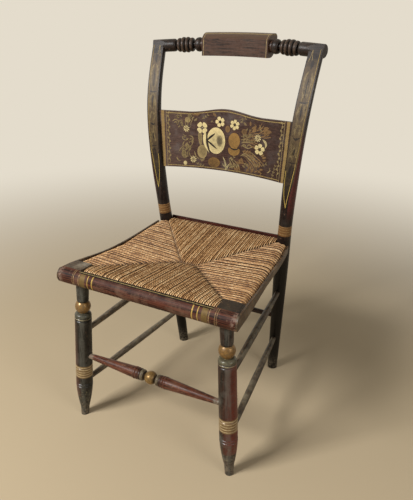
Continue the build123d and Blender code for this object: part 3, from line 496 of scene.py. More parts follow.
# %% Distances on the slat
SLAT_LOOKS = {"ground": "#2f1d18", "glaze": "#4d352b", "cloud": "#5c5350", "worn": "#6b5542", "clouds": 0.6}
HUMP_HALF = 105  # from the middle of the hump to its foot
HUMP_TOP, HUMP_FOOT = 0.7275, 0.7152  # heights of the top edge, in metres
LOWER_EDGE = 0.5776  # height of the lower edge in the middle, in metres
LOWER_SAG = 0.005 / 0.1577**2
POST_RAKE = 0.035  # the slat's ends lean outwards with the posts, from
RAKE_HEIGHT = 0.592  # this height up, in metres
paint = grained_paint("plum_brown_slat", ALONG_X, **SLAT_LOOKS, streak=2.6)
tree = paint["tree"]
at = measured(tree)
far = at["far"]
hump = ramp(tree, far, 0, HUMP_HALF, HUMP_TOP, HUMP_FOOT)
below = drawn(tree, add_node(tree, "Math", {0: hump, 1: at["z"]}, operation="SUBTRACT").outputs[0], 0.3)
squared = add_node(tree, "Math", {0: far, 1: far}, operation="MULTIPLY").outputs[0]
bow = add_node(tree, "Math", {0: squared, 1: LOWER_SAG, 2: at["z"]}, operation="MULTIPLY_ADD").outputs[0]
above = drawn(tree, add_node(tree, "Math", {0: bow, 1: LOWER_EDGE}, operation="SUBTRACT").outputs[0], 0.3)
limits = {0: at["z"], 1: -POST_RAKE, 2: POST_RAKE * RAKE_HEIGHT}
raked = add_node(tree, "Math", limits, operation="MULTIPLY_ADD").outputs[0]
beside = drawn(tree, add_node(tree, "Math", {0: far, 1: raked}, operation="ADD").outputs[0], 0.25)
turned = add_node(tree, "SeparateXYZ", {0: add_node(tree, "NewGeometry").outputs["Normal"]}).outputs[1]
front = add_node(tree, "Math", {0: turned, 1: -0.5}, operation="LESS_THAN").outputs[0]
print("the slat's hump is", round((HUMP_TOP - HUMP_FOOT) / MM, 1), "mm high")

# %% Paint the slat
EDGE_GOLD = "#a58f58"
lay(paint, ramp(tree, at["x"], -60, -130, 0.0, 0.12), "#85746a")
lay(paint, ramp(tree, at["x"], 20, 110, 0.0, 0.3), "#1d120d")
inside = shared(tree, front, ramp(tree, beside, 154.4, 153.8))
lay(paint, patchy(paint, shared(tree, inside, lines(tree, below, [(4.6, 1.0)])), 0.5), EDGE_GOLD, 0.2)
lay(paint, patchy(paint, shared(tree, inside, lines(tree, above, [(4.6, 0.9)])), 0.5), EDGE_GOLD, 0.2)
bar = add_node(tree, "MapRange", {0: paint["streaks"], 1: 0.35, 2: 0.65, 3: 0.7, 4: 1.0}).outputs[0]
lay(paint, shared(tree, front, bar, lines(tree, beside, [(163.2, 3.9)])), "#937a4c", 0.2)
lay(paint, patchy(paint, shared(tree, front, lines(tree, beside, [(153.8, 0.7)])), 0.4), "#a38f62", 0.3)
dress(nodes["back_slat"], varnish(paint))
print("painted the slat, top edge", 1000 * HUMP_TOP, "mm up in the middle")

# %% [markdown]
# ## Pins, brads and stuffing
# Maple pins, cut iron brads and the loose rush inside the seat barely show. They still get their
# own plain finishes, because the chair may be taken apart: each is a noise between two colours, in
# patches as large as the wood's pores, the specks of rust or the stalks of rush. The hidden lists
# share the rush's dark finish, so that no pale wood shows between the strands.


# %% Plain finishes
def two_tone(name, sizes, detail, dark, light, rough=None):
    """A finish in two colours with patches of sizes in mm. Without rough, the patches set it."""
    material, tree = empty_material(name)
    here = add_node(tree, "TexCoord").outputs["Object"]
    spread = add_node(tree, "Mapping", {"Vector": here, "Scale": [1 / (size * MM) for size in sizes]})
    settings = {"Vector": spread.outputs[0], "Scale": 1.0, "Detail": detail}
    patches = add_node(tree, "TexNoise", settings).outputs[0]
    tint = add_node(tree, "Mix", {0: patches, 6: linear(dark), 7: linear(light)}, data_type="RGBA")
    inputs = {"Base Color": tint.outputs[2], "Roughness": patches if rough is None else rough}
    shader = add_node(tree, "BsdfPrincipled", inputs)
    add_node(tree, "OutputMaterial", {0: shader.outputs[0]})
    return material, shader


peg = two_tone("turned_maple_end_grain", (0.8, 0.8, 0.8), 3.0, "#5b4632", "#7d644a", 0.6)[0]
for name in ("slat_pins", "crest_pins", "roll_dowels"):
    dress(nodes[name], peg)
iron, shader = two_tone("dull_cut_iron", (0.6, 0.6, 0.6), 4.0, "#3a3532", "#6b5445")
shader.inputs["Metallic"].default_value = 0.8
dress(nodes["casing_brads"], iron)
straw = two_tone("loose_dark_rush", (3, 30, 3), 4.0, "#22170c", "#4f3a22", 0.9)[0]
for name in ("seat_stuffing", "front_list", "rear_list", "side_list_left", "side_list_right"):
    dress(nodes[name], straw)
print("plain finishes on pins, brads, stuffing and lists")

# %% [markdown]
# ## Rush seat
# The seat is wound from one long cord, twisted from wet rush leaves. It goes over a rail, down
# through the middle, up round the next rail, and so on, so four fields of parallel strands meet
# along dark seams. A strand is about 4 mm thick. Each one could be a curve with a bevel, but
# then nothing says which side of it is up. So each strand is a short row of rings built in code,
# with its own UV map: u runs along it in metres and v once round it. The twist, the worn crown
# and the dark sides that face the neighbours all read that map.

# %% The seat's surfaces
FRONT_EDGE = (-219.6, 418.0, 389.5)  # y, upper height, lower height
REAR_EDGE = (164.6, 427.0, 399.0)
SIDE_EDGE = (-29.3, 410.5, 377.5)
SEAM = (-32.1, 396.5, 375.0)
SEAM_HALF = 19.6  # half the length of the seam between the front and the rear field
WIDE = 230.0
FRONT_CORNER = (165.4, -181.2)  # x, y where a seam meets the corner block
REAR_CORNER = (156.0, 133.7)  # and the rear post
CASING = [(131.7, 186.0), (67.7, 192.5), (-29.3, 197.5), (-145.3, 208.5), (-239.3, 216.2)]
PITCH = 4.7
STRAND = 1.95  # half a strand's thickness


def between(a, b, share):
    """The value at a share of the way from a to b."""
    return a + (b - a) * share


def casing_inside(y):
    """Inner face of the side casing at depth y."""
    for (high, a), (low, b) in zip(CASING, CASING[1:]):
        if y >= low:
            return between(b, a, (y - low) / (high - low))
    return CASING[-1][1]


def side_level(x, y, face):
    """Height of a side field's upper (1) or lower (2) surface."""
    out = (x - SEAM_HALF) / (WIDE - SEAM_HALF)
    aim = SEAM[0] + (y - SEAM[0]) / max(out, 0.02)
    edge = FRONT_EDGE if aim < SIDE_EDGE[0] else REAR_EDGE
    share = (aim - SIDE_EDGE[0]) / (edge[0] - SIDE_EDGE[0])
    return between(SEAM[face], between(SIDE_EDGE[face], edge[face], share), out)


print("casing beside the middle strand:", casing_inside(SIDE_EDGE[0]), "mm from the middle")

# %% [markdown]
# ## The path of one strand
# A strand rises out of the seam, lies on the field, rolls over the rail in half an ellipse, and
# comes back below to the seam. Sixteen points hold that shape.


# %% The path of one strand
LIST_IN = 13  # the rail's middle is this far inside the seat's edge
ROLL_OVER = 1.6  # how much longer than high the rolled edge is


def strand_path(start, edge, level):
    """(distance out, height) points of a strand from the seam over the rail and back below it."""
    crown = level(edge - LIST_IN, 1) - STRAND
    floor = level(edge - LIST_IN, 2) + STRAND
    half = (crown - floor) / 2
    centre = edge - ROLL_OVER * half - STRAND
    points = [(start - 0.6, level(start, 1) - STRAND - 8), (start + 1.9, level(start, 1) - STRAND - 2.4)]
    for share in (0.1, 0.4, 0.75, 1.0):
        out = between(start + 1.2, centre, share)
        points.append((out, level(out, 1) - STRAND))
    for turn in (62, 36, 12, -12, -40, -65):
        angle = math.radians(turn)
        points.append((centre + ROLL_OVER * half * math.cos(angle), floor + half + half * math.sin(angle)))
    for share in (1.0, 0.5, 0.08, 0.0):
        out = between(start + 1.2, centre, share)
        points.append((out, level(out, 2) + STRAND + (3 if share == 0 else 0)))
    return points


# %% Rings of one strand
RING = 6  # corners in a ring


def strand_rings(points, side, radius):
    """A ring of corners round each point, and how many mm along the strand each ring is."""
    corners, runs = [], [0.0]
    for n, point in enumerate(points):
        way = (points[min(n + 1, len(points) - 1)] - points[max(n - 1, 0)]).normalized()
        up = side.cross(way)
        if n == 0 and up.z < 0:
            side, up = -side, -up
        if n:
            runs.append(runs[-1] + (point - points[n - 1]).length)
        for k in range(RING):
            angle = 2 * math.pi * k / RING
            corners.append((point + (up * math.cos(angle) + side * math.sin(angle)) * radius) * MM)
    return corners, runs


# %% Mesh of a field
def strand_mesh(name, strands, side):
    """Strands in one mesh. Each is its points in mm, a tone and a radius. None bends to the side."""
    corners, faces, places, tones = [], [], [], []
    for points, tone, radius in strands:
        first = len(corners)
        rings, runs = strand_rings([Vector(p) for p in points], Vector(side), radius)
        corners += rings
        tones += [tone] * len(rings)
        for n, (near, far) in enumerate(zip(runs, runs[1:])):
            base = first + n * RING
            for k in range(RING):
                m = (k + 1) % RING
                faces.append((base + k, base + RING + k, base + RING + m, base + m))
                for run, turn in ((near, k), (far, k), (far, k + 1), (near, k + 1)):
                    places += [run * MM, turn / RING]
        faces.append(tuple(first + k for k in range(RING)))
        faces.append(tuple(len(corners) - 1 - k for k in range(RING)))
        places += [c for k in range(RING) for c in (0.0, k / RING)] * 2
    mesh = bpy.data.meshes.new(name)
    mesh.from_pydata(corners, [], faces)
    mesh.uv_layers.new(name="along_strand").data.foreach_set("uv", places)
    mesh.attributes.new("strand_tone", "FLOAT", "POINT").data.foreach_set("value", tones)
    return mesh


# %% Wind a field of strands
def wind(name, strands, side):
    """A field of the seat in place of the plain rush solid, with its faces turned outwards."""
    field = bpy.data.objects.new(name, strand_mesh(name, strands, side))
    bpy.context.scene.collection.objects.link(field)
    bpy.ops.object.select_all(action="DESELECT")
    field.select_set(True)
    bpy.context.view_layer.objects.active = field
    bpy.ops.object.mode_set(mode="EDIT")
    bpy.ops.mesh.select_all(action="SELECT")
    bpy.ops.mesh.normals_make_consistent(inside=False)
    bpy.ops.object.mode_set(mode="OBJECT")
    bpy.ops.object.shade_smooth()
    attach(field, "root")
    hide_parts("rush_seat")
    print(name, "strands:", len(strands), "faces:", len(field.data.polygons))
    return field


# %% [markdown]
# ## The four fields
# A hand-wound seat is never even: strands lie a little higher or lower, paler or darker, and after
# one or two proud ones comes a low one, laid darker. Copying one strand with an array would look
# machine-made, so a few random numbers, the same on each run, move every strand a little.

# %% Unevenness of a field
hand = random.Random(11)
DROP = 0.9  # how much deeper a low strand lies


def unevenness(count, painted_light_shift, low):
    """Each strand's shift, sink, tone and radius. After a proud one or two comes a low, dark one."""
    strands, proud = [], 0
    for n in range(count):
        sunk = proud == 0
        proud = hand.choice((1, 1, 2)) if sunk else proud - 1
        # The shift for the whole field is painted light and shade: it lays the strands of one direction
        # paler or darker, for how the lamps fall across them.
        tone = hand.uniform(0, 1) + painted_light_shift - (low if sunk else 0)
        sink = hand.uniform(-0.6, 0.0) - (DROP if sunk else 0)
        strands.append((hand.uniform(-0.3, 0.3), sink, tone, STRAND * hand.uniform(0.92, 1.04)))
    return strands


# %% Strands of the front and rear fields
def cross_field(edge, corner):
    """Strands of the front or rear field, which run front to back."""
    sign = -1 if edge[0] < 0 else 1
    count = round(2 * corner[0] / PITCH)
    strands = []
    # The front and rear fields are laid a little paler: painted light.
    for n, (shift, sink, tone, radius) in enumerate(unevenness(count, 0.1, 0.55)):
        x = (n + 0.5 - count / 2) * 2 * corner[0] / count
        start = SEAM[0]
        if abs(x) > SEAM_HALF:
            start = between(SEAM[0], corner[1], (abs(x) - SEAM_HALF) / (corner[0] - SEAM_HALF))

        def level(out, face):
            return between(SEAM[face], edge[face], (sign * out - SEAM[0]) / (edge[0] - SEAM[0]))

        path = strand_path(sign * start, sign * edge[0], level)
        strands.append(([(x + shift, sign * out, z + sink) for out, z in path], tone, radius))
    return strands


# %% Strands of the side fields
def side_field(sign):
    """Strands of a side field, which run from side to side."""
    count = round((REAR_CORNER[1] - FRONT_CORNER[1]) / PITCH)
    strands = []
    # The side fields are laid a little darker: painted shade.
    for n, (shift, sink, tone, radius) in enumerate(unevenness(count, -0.15, 0.9)):
        y = between(FRONT_CORNER[1], REAR_CORNER[1], (n + 0.5) / count)
        corner = FRONT_CORNER if y < SEAM[0] else REAR_CORNER
        start = between(SEAM_HALF, corner[0], (y - SEAM[0]) / (corner[1] - SEAM[0]))
        path = strand_path(start, casing_inside(y) - 0.4, lambda x, face: side_level(x, y, face))
        strands.append(([(sign * x, y + shift, z + sink) for x, z in path], tone, radius))
    return strands


rush_fields = [
    wind("rush_front_field", cross_field(FRONT_EDGE, FRONT_CORNER), (1, 0, 0)),
    wind("rush_rear_field", cross_field(REAR_EDGE, REAR_CORNER), (1, 0, 0)),
    wind("rush_left_field", side_field(-1), (0, 1, 0)),
    wind("rush_right_field", side_field(1), (0, 1, 0)),
]

# %% [markdown]
# ## Twisted rush
# Dry rush is golden brown, matt on its fibres and a little shiny on its crown. Every strand has its
# own tone. It is twisted once in about 14 mm, which shows as slanting stripes, and its sides stay
# dark, because dust settles between strands and light doesn't reach there. The real fibres are
# finer than a render shows, so a fibre is drawn as wide as a seventh of the way round.

# %% Tone of the fibres
TWIST = 14  # length of one turn
FIBRE = 9  # length of a fibre's bright or dark part
FIBRES_ROUND = 7
FIBRE_START = 3.1  # where in the noise every strand begins
DRIFT = 30  # size of a paler or darker patch of the seat
rush, tree = empty_material("twisted_rush_cord")
here = add_node(tree, "TexCoord")
place = add_node(tree, "SeparateXYZ", {0: here.outputs["UV"]})
run, round_it = place.outputs[0], place.outputs[1]
tone = add_node(tree, "Attribute", attribute_name="strand_tone", attribute_type="GEOMETRY").outputs["Fac"]
settings = {"Vector": here.outputs["Object"], "Scale": 1 / (DRIFT * MM), "Detail": 3.0}
drift = add_node(tree, "TexNoise", settings).outputs[0]
stretch = (1 / (FIBRE * MM), FIBRES_ROUND, 1)  # along the strand and round it
settings = {"Vector": here.outputs["UV"], "Location": (FIBRE_START, 0, 0), "Scale": stretch}
spread = add_node(tree, "Mapping", settings).outputs[0]
apart = add_node(tree, "Math", {0: tone, 1: 60.0}, operation="MULTIPLY").outputs[0]
own = add_node(tree, "CombineXYZ", {2: apart})  # so that each strand has its own fibres
spread = add_node(tree, "VectorMath", {0: spread, 1: own.outputs[0]}, operation="ADD").outputs[0]
settings = {"Vector": spread, "Scale": 1.0, "Detail": 4.0, "Distortion": 0.4}
fibre = add_node(tree, "TexNoise", settings).outputs[0]
# how pale: 0.11 of the strand's own tone, a quarter of the drift and most of the fibre, added up
pale = add_node(tree, "Math", {0: tone, 1: 0.11, 2: shared(tree, drift, 0.25)}, operation="MULTIPLY_ADD")
pale = add_node(tree, "Math", {0: fibre, 1: 0.74, 2: pale.outputs[0]}, operation="MULTIPLY_ADD")
shade = add_node(tree, "ValToRGB", {0: pale.outputs[0]})
dark, light = shade.color_ramp.elements
dark.position, light.position = 0.40, 0.70
dark.color, light.color = linear("#80552c"), linear("#ffdba6")
shade.color_ramp.elements.new(0.54).color = linear("#d29f66")
print("fibres about", FIBRE, "mm long,", FIBRES_ROUND, "of them round a strand")

# %% Twist and dust
turns = add_node(tree, "Math", {0: run, 1: 1 / (TWIST * MM), 2: round_it}, operation="MULTIPLY_ADD")
wave = add_node(tree, "Math", {0: turns.outputs[0], 1: 2 * math.pi * 2}, operation="MULTIPLY")  # two plies
wave = add_node(tree, "Math", {0: wave.outputs[0]}, operation="SINE").outputs[0]
ply = add_node(tree, "MapRange", {0: wave, 1: -1.0, 2: 0.0, 3: 0.6, 4: 0.0}).outputs[0]
low = add_node(tree, "MapRange", {0: tone, 1: -0.1, 2: -1.3, 3: 0.0, 4: 0.85}).outputs[0]
crown = add_node(tree, "Math", {0: round_it, 1: 2 * math.pi}, operation="MULTIPLY").outputs[0]
crown = add_node(tree, "Math", {0: crown}, operation="COSINE").outputs[0]
# Painted shade with dust: the sides of each strand, where it faces its neighbours, and its first few mm at
# the seam are laid dark.
dust_and_shade = add_node(tree, "MapRange", {0: crown, 1: 0.65, 2: 0.2, 3: 0.0, 4: 1.0}).outputs[0]
dust_and_shade = either(tree, dust_and_shade, ramp(tree, run, 14, 6, 0.0, 0.5))
colour = shade.outputs[0]
for where, darker in ((low, "#4a2e12"), (ply, "#563617"), (dust_and_shade, "#281706")):
    colour = add_node(tree, "Mix", {0: where, 6: colour, 7: linear(darker)}, data_type="RGBA").outputs[2]
height = add_node(tree, "Math", {0: wave, 1: fibre}, operation="ADD").outputs[0]
relief = add_node(tree, "Bump", {"Height": height, "Distance": 0.35 * MM, "Strength": 0.7})
shader = add_node(tree, "BsdfPrincipled", {"Base Color": colour, "Normal": relief.outputs[0]})
shader.inputs["Roughness"].default_value = 0.55
add_node(tree, "OutputMaterial", {0: shader.outputs[0]})
for field in rush_fields:
    dress(field, rush)
print("rush on", len(rush_fields), "fields, one turn in", TWIST, "mm")

# %% [markdown]
# ## Stencil marks
# A stencil is cut paper. Bronze powder is rubbed through it on tacky varnish, bright at the rim of
# each opening and thin in the middle. Nearly every opening here is a tapering stroke: a petal, a
# leaf, a curl, a line. So one kind of mark does it: a flat grid, laid along a row of points and made
# wide or narrow along its length, that carries how much bronze lies on it. Outlines filled by hand
# would need far more points. Fruits are round, so they start as a disc.


# %% Strokes
def curve_point(points, share):
    """Point and direction at a share of the way along a smooth line through points."""
    place = min(share, 0.9999) * (len(points) - 1)
    n = int(place)
    t = place - n
    a, b, c, d = (Vector(points[max(0, min(k, len(points) - 1))]) for k in (n - 1, n, n + 1, n + 2))
    spot = 0.5 * (2 * b + (c - a) * t + (2 * a - 5 * b + 4 * c - d) * t**2 + (3 * b - a - 3 * c + d) * t**3)
    way = 0.5 * ((c - a) + 2 * (2 * a - 5 * b + 4 * c - d) * t + 3 * (3 * b - a - 3 * c + d) * t**2)
    return spot, way.normalized()


def bronze(mark, amounts):
    """Store how much bronze powder lies at each corner of a mark."""
    mark.data.attributes.new("bronze", "FLOAT", "POINT").data.foreach_set("value", amounts)
    return mark


def stroke(points, widths, rim=1.0, middle=0.45):
    """A mark along (x, z) points in mm, with widths from its start to its end."""
    cuts = 5 * len(points) - 4  # enough for a smooth bend at each point
    bpy.ops.mesh.primitive_grid_add(x_subdivisions=cuts, y_subdivisions=4, size=1)
    mark = bpy.context.object
    amounts = []
    for corner in mark.data.vertices:
        share, across = corner.co.x + 0.5, corner.co.y
        spot, way = curve_point(points, share)
        place = share * (len(widths) - 1)
        n = min(int(place), len(widths) - 2)
        wide = between(widths[n], widths[n + 1], place - n)
        corner.co = Vector((spot.x - way.y * across * wide, 0, spot.y + way.x * across * wide)) * MM
        amounts.append(between(middle, rim, (2 * across) ** 2))
    return bronze(mark, amounts)


# %% Leaves, sprays and grasses
def leaf(start, tip, wide=0.42, **light):
    """A pointed leaf from its base to its tip."""
    broad = (Vector(tip) - Vector(start)).length * wide
    return stroke([start, tip], [0.1 * broad, 0.8 * broad, broad, 0.7 * broad, 0], **light)


def spray(base, tip, pairs, size, **light):
    """A stem with pairs of small leaves along it."""
    base, tip = Vector(base), Vector(tip)
    way = (tip - base).normalized()
    marks = [stroke([base, tip], [1.2, 1.0, 0.6], **light)]
    for n in range(pairs):
        spot = base.lerp(tip, (n + 0.6) / pairs)
        for side in (-1, 1):
            out = (way + side * 0.9 * Vector((-way.y, way.x))).normalized() * size
            marks.append(leaf(spot, spot + out, 0.4, **light))
    return marks


def fan(base, first, last, count, bow, wide):
    """Grasses from one base to tips in a row between two places, all bowed the same way."""
    marks = []
    for n in range(count):
        tip = [between(a, b, n / (count - 1)) for a, b in zip(first, last)]
        inset = 0.2 + 0.25 * (n % 2)  # every other stalk starts further out
        start = [between(a, b, inset) for a, b in zip(base, tip)]
        rise, run = (tip[1] - start[1]) * bow, (tip[0] - start[0]) * bow
        half = (between(start[0], tip[0], 0.5) - rise, between(start[1], tip[1], 0.5) + run)
        marks.append(stroke([start, half, tip], [0.3, 0.4 * wide, wide, 0.3], 0.9, 0.6))
    return marks


# %% Petals and fruits
def blossom(x, z, size, petals, turn=0.0, rim=1.0, middle=0.75, thin=0.95):
    """Petals of a flower around an open centre. thin is a petal's width against its place."""
    marks = []
    wide = thin * math.pi * size * 0.62 / petals
    for n in range(petals):
        angle = turn + 2 * math.pi * n / petals
        out = Vector((math.cos(angle), math.sin(angle)))
        centre = Vector((x, z))
        ends = [centre + out * size * 0.14, centre + out * size * 0.5]
        marks.append(stroke(ends, [0.3 * wide, 0.8 * wide, wide, wide, 0.45 * wide], rim, middle))
    return marks


FRUIT_SIDES = 28


def fruit(x, z, wide, high, rim=1.0, middle=0.5, lean=(0.0, 0.0)):
    """A round fruit. Its bronze is thicker at the rim, and on the side that lean points to."""
    bpy.ops.mesh.primitive_circle_add(vertices=FRUIT_SIDES, radius=1, fill_type="TRIFAN")
    bpy.ops.object.mode_set(mode="EDIT")
    bpy.ops.mesh.subdivide(number_cuts=3)
    bpy.ops.object.mode_set(mode="OBJECT")
    mark = bpy.context.object
    amounts = []
    for corner in mark.data.vertices:
        a, b = corner.co.x, corner.co.y
        amounts.append(between(middle, rim, min(1, a * a + b * b) ** 1.5) + lean[0] * a + lean[1] * b)
        corner.co = Vector((x + a * wide / 2, 0, z + b * high / 2)) * MM
    return bronze(mark, amounts)


# %% [markdown]
# ## Laying marks on the wood
# The marks are drawn flat at y = 0, in front of the chair's back, and a shrinkwrap modifier then
# pushes them straight backwards onto the curved wood. Wrapping them by hand would take a curved
# grid for each board. Each colour lies a little higher than the one under it, so that none of them
# flickers through, and a solidify modifier gives it the thickness of a rubbed film.


# %% Lay marks on the wood
FILM = 0.12  # thickness of the film
OFF_WOOD = 0.05  # a corner still in front of this depth, in metres, has missed the wood


def rub_on(name, marks, wood, layer, material):
    """Join marks to one sheet and lay it on the front of a node, so many mm off the wood."""
    bpy.ops.object.select_all(action="DESELECT")
    for mark in marks:
        mark.select_set(True)
    sheet = marks[0]
    bpy.context.view_layer.objects.active = sheet
    if len(marks) > 1:
        bpy.ops.object.join()
    sheet.name = sheet.data.name = name
    bpy.ops.object.mode_set(mode="EDIT")
    bpy.ops.mesh.select_all(action="SELECT")
    bpy.ops.mesh.remove_doubles(threshold=0.01 * MM)
    bpy.ops.object.mode_set(mode="OBJECT")
    wrap = sheet.modifiers.new("onto_wood", "SHRINKWRAP")
    wrap.target = wood
    wrap.wrap_method = "PROJECT"
    wrap.use_project_y = True
    wrap.auxiliary_target = nodes["crest_rail"]  # for a panel's top, which runs up onto the rail
    bpy.ops.object.modifier_apply(modifier=wrap.name)
    missed = sum(corner.co.y < OFF_WOOD for corner in sheet.data.vertices)
    for corner in sheet.data.vertices:
        corner.co.y -= layer * MM
    film = sheet.modifiers.new("film", "SOLIDIFY")
    film.thickness = FILM * MM
    film.offset = 0.0
    bpy.ops.object.modifier_apply(modifier=film.name)
    dress(sheet, material)
    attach(sheet, "root")
    print(name, "faces:", len(sheet.data.polygons), "corners off the wood:", missed)


# %% [markdown]
# ## Bronze powders
# The powders are brass and copper, rubbed onto tacky varnish, so each colour is part metal, satin
# rather than bright, and grainy. Where the powder thins out, the dark ground shows through. The
# stored amount of bronze drives that from the rim of a mark to its middle. Two flat colours would
# do for a sign painter's work, but here the grain and the thin middles make it look rubbed on.


# %% Bronze powder
def bronze_powder(name, deep, bright, metal=0.25, grain=0.8):
    """Powder that goes from a deep to a bright colour with the amount stored on the mark."""
    material, tree = empty_material(name)
    here = add_node(tree, "TexCoord").outputs["Object"]
    amount = add_node(tree, "Attribute", attribute_name="bronze", attribute_type="GEOMETRY").outputs["Fac"]
    settings = {"Vector": here, "Scale": 1 / (grain * MM), "Detail": 3.0, "Roughness": 0.65}
    dusty = add_node(tree, "TexNoise", settings).outputs[0]
    worn = add_node(tree, "TexNoise", {"Vector": here, "Scale": 1 / (7 * MM), "Detail": 3.0}).outputs[0]
    both = add_node(tree, "Math", {0: dusty, 1: worn}, operation="ADD").outputs[0]
    uneven = add_node(tree, "MapRange", {0: both, 1: 0.7, 2: 1.3, 3: -0.28, 4: 0.28}).outputs[0]
    amount = add_node(tree, "Math", {0: amount, 1: uneven}, operation="ADD", use_clamp=True).outputs[0]
    colour = add_node(tree, "Mix", {0: amount, 6: linear(deep), 7: linear(bright)}, data_type="RGBA")
    inputs = {"Base Color": colour.outputs[2], "Metallic": shared(tree, amount, metal)}
    shader = add_node(tree, "BsdfPrincipled", inputs)
    shader.inputs["Roughness"].default_value = 0.42
    shader.inputs["Specular IOR Level"].default_value = 0.22
    add_node(tree, "OutputMaterial", {0: shader.outputs[0]})
    return material


pale_bronze = bronze_powder("pale_brass_powder", "#5d533d", "#d3c18c")
gold_bronze = bronze_powder("gold_brass_powder", "#3a2a1b", "#8c6c44")
orange_bronze = bronze_powder("copper_brass_powder", "#4d3820", "#8f6d3b")
yellow_line = bronze_powder("yellow_striping_paint", "#5f4d28", "#b79c50", 0.0)
dim_bronze = bronze_powder("dim_worn_brass_powder", "#3a2d20", "#917e55", 0.12)
umber = bronze_powder("umber_shading_paint", "#1d1613", "#3a2f24", 0.0)
post_bronze = bronze_powder("olive_brass_powder", "#241d16", "#5d4b33", 0.04, 1.2)
print("powders and paints for the stencils: 7")

# %% [markdown]
# ## The slat's basket of fruit
# The middle of the slat has a big pale fruit with a split and a stalk, an orange one and a brown
# one, four blossoms, three daisies, and leaves, fans of grasses and curls in dull bronze around
# them. A narrow wavy vine runs down each end. All of it could be one image on the board. Marks with
# a shape of their own stay sharp close up, and catch the light as powder on varnish does. Places
# are x and z in millimetres on the slat.

# %% Pale bronze on the slat
pale = [
    fruit(-21.4, 650.8, 50, 65, 0.95, 0.62, (-0.1, 0.1)),
    stroke([(-50, 671), (-53, 656), (-50.5, 638), (-39, 619)], [0, 8.5, 8, 5, 0], 0.8, 0.95),
    fruit(-104.7, 586.8, 10, 11, 0.5, 0.75),
    stroke([(103, 668), (113, 659), (111.5, 647)], [0, 6, 5, 0], 0.6, 0.5),
    stroke([(9, 581), (6, 598), (-1, 614)], [5, 4.5, 4.5, 3.5, 0], 0.5, 0.35),
    stroke([(9, 583), (13, 591), (18, 599)], [3, 4, 3, 0], 0.5, 0.3),
    stroke([(8, 589), (1, 592), (-2, 598)], [2, 3, 2, 0], 0.4, 0.3),
]
pale += blossom(-59.9, 679.5, 29, 4, math.pi / 4, 1.1, 0.85, 1.0)
pale += blossom(-11.8, 697.4, 25, 5, 1.9, 1.15, 0.95)
pale += blossom(27.8, 693.9, 25, 6, 0.4, 1.05, 0.8)
pale += blossom(96.9, 643.2, 27, 5, 1.45, 1.0, 0.75)
DAISIES = [(-102.9, 674.4, 17, 9), (-82.4, 598.3, 18, 9), (90.9, 669, 18, 10)]
for x, z, size, petals in DAISIES:
    pale += blossom(x, z, size, petals, 0.3, 0.9, 0.8, 0.6)
pale += [fruit(x, z, 2.2, 2.2) for x, z in [(-59.9, 679.8)] + [daisy[:2] for daisy in DAISIES]]
rub_on("slat_pale_bronze", pale, nodes["back_slat"], 0.45, pale_bronze)
hollow = [fruit(-12, 651, 19, 32, 0.72, -0.15), fruit(-28, 652, 9, 17, 0.75, 0.45)]
rub_on("slat_fruit_hollow", hollow, nodes["back_slat"], 0.55, pale_bronze)

# %% Gold bronze on the slat
GOLD_LEAVES = [
    ((104, 693), (119, 695)), ((104, 686), (126, 687)), ((106, 680), (120, 679)),
    ((54, 629), (60, 638)), ((61, 628), (67, 638)), ((67, 630), (74, 637)), ((105, 623), (116, 627)),
    ((107, 617), (116, 620)), ((102, 627), (111, 632)), ((30, 587), (44, 588)), ((36, 583), (46, 587)),
    ((43, 595), (46, 584)), ((-88, 713), (-80, 708)), ((-80, 710), (-67, 712)), ((70, 695), (69, 706)),
    ((75, 690), (86, 696)), ((75, 682), (86, 691)), ((68, 594), (66, 584)), ((77, 584), (84, 595)),
    ((86, 586), (94, 591)), ((96, 600), (102, 607)), ((100, 595), (110, 596)), ((94, 592), (105, 588)),
    ((42, 611), (58, 603)), ((49, 617), (53, 602)), ((35, 604), (49, 603)), ((-32, 717), (-22, 709)),
]
GOLD_SPRAYS = [
    ((84, 600), (106, 584), 3), ((50, 634), (82, 626), 4), ((64, 676), (84, 700), 3),
]
gold = [leaf(start, tip, 0.46, rim=0.75, middle=0.5) for start, tip in GOLD_LEAVES]
gold += [fruit(9, 682, 12, 16, 0.9, 0.4), fruit(54, 680, 14, 13, 0.55, 0.3)]
for base, tip, pairs in GOLD_SPRAYS:
    gold += spray(base, tip, pairs, 5, rim=0.7, middle=0.4)
gold += fan((44, 655), (92, 688), (98, 634), 9, 0.1, 2.2)
gold += fan((48, 632), (112, 606), (72, 585), 8, 0.14, 2.6)
gold += fan((70, 672), (100, 706), (126, 676), 6, -0.1, 2.6)
rub_on("slat_gold_bronze", gold, nodes["back_slat"], 0.35, gold_bronze)

# %% Orange bronze on the slat
orange = [
    fruit(28, 656, 31, 38, 0.85, 0.75, (0.1, 0.15)),
    stroke([(13, 636), (28, 629), (44, 635)], [3, 19, 20, 17, 3], 0.9, 0.6),
    fruit(-25.3, 596.3, 33, 25, 0.45, 0.25, (0.05, 0.2)),
]
rub_on("slat_orange_bronze", orange, nodes["back_slat"], 0.35, orange_bronze)

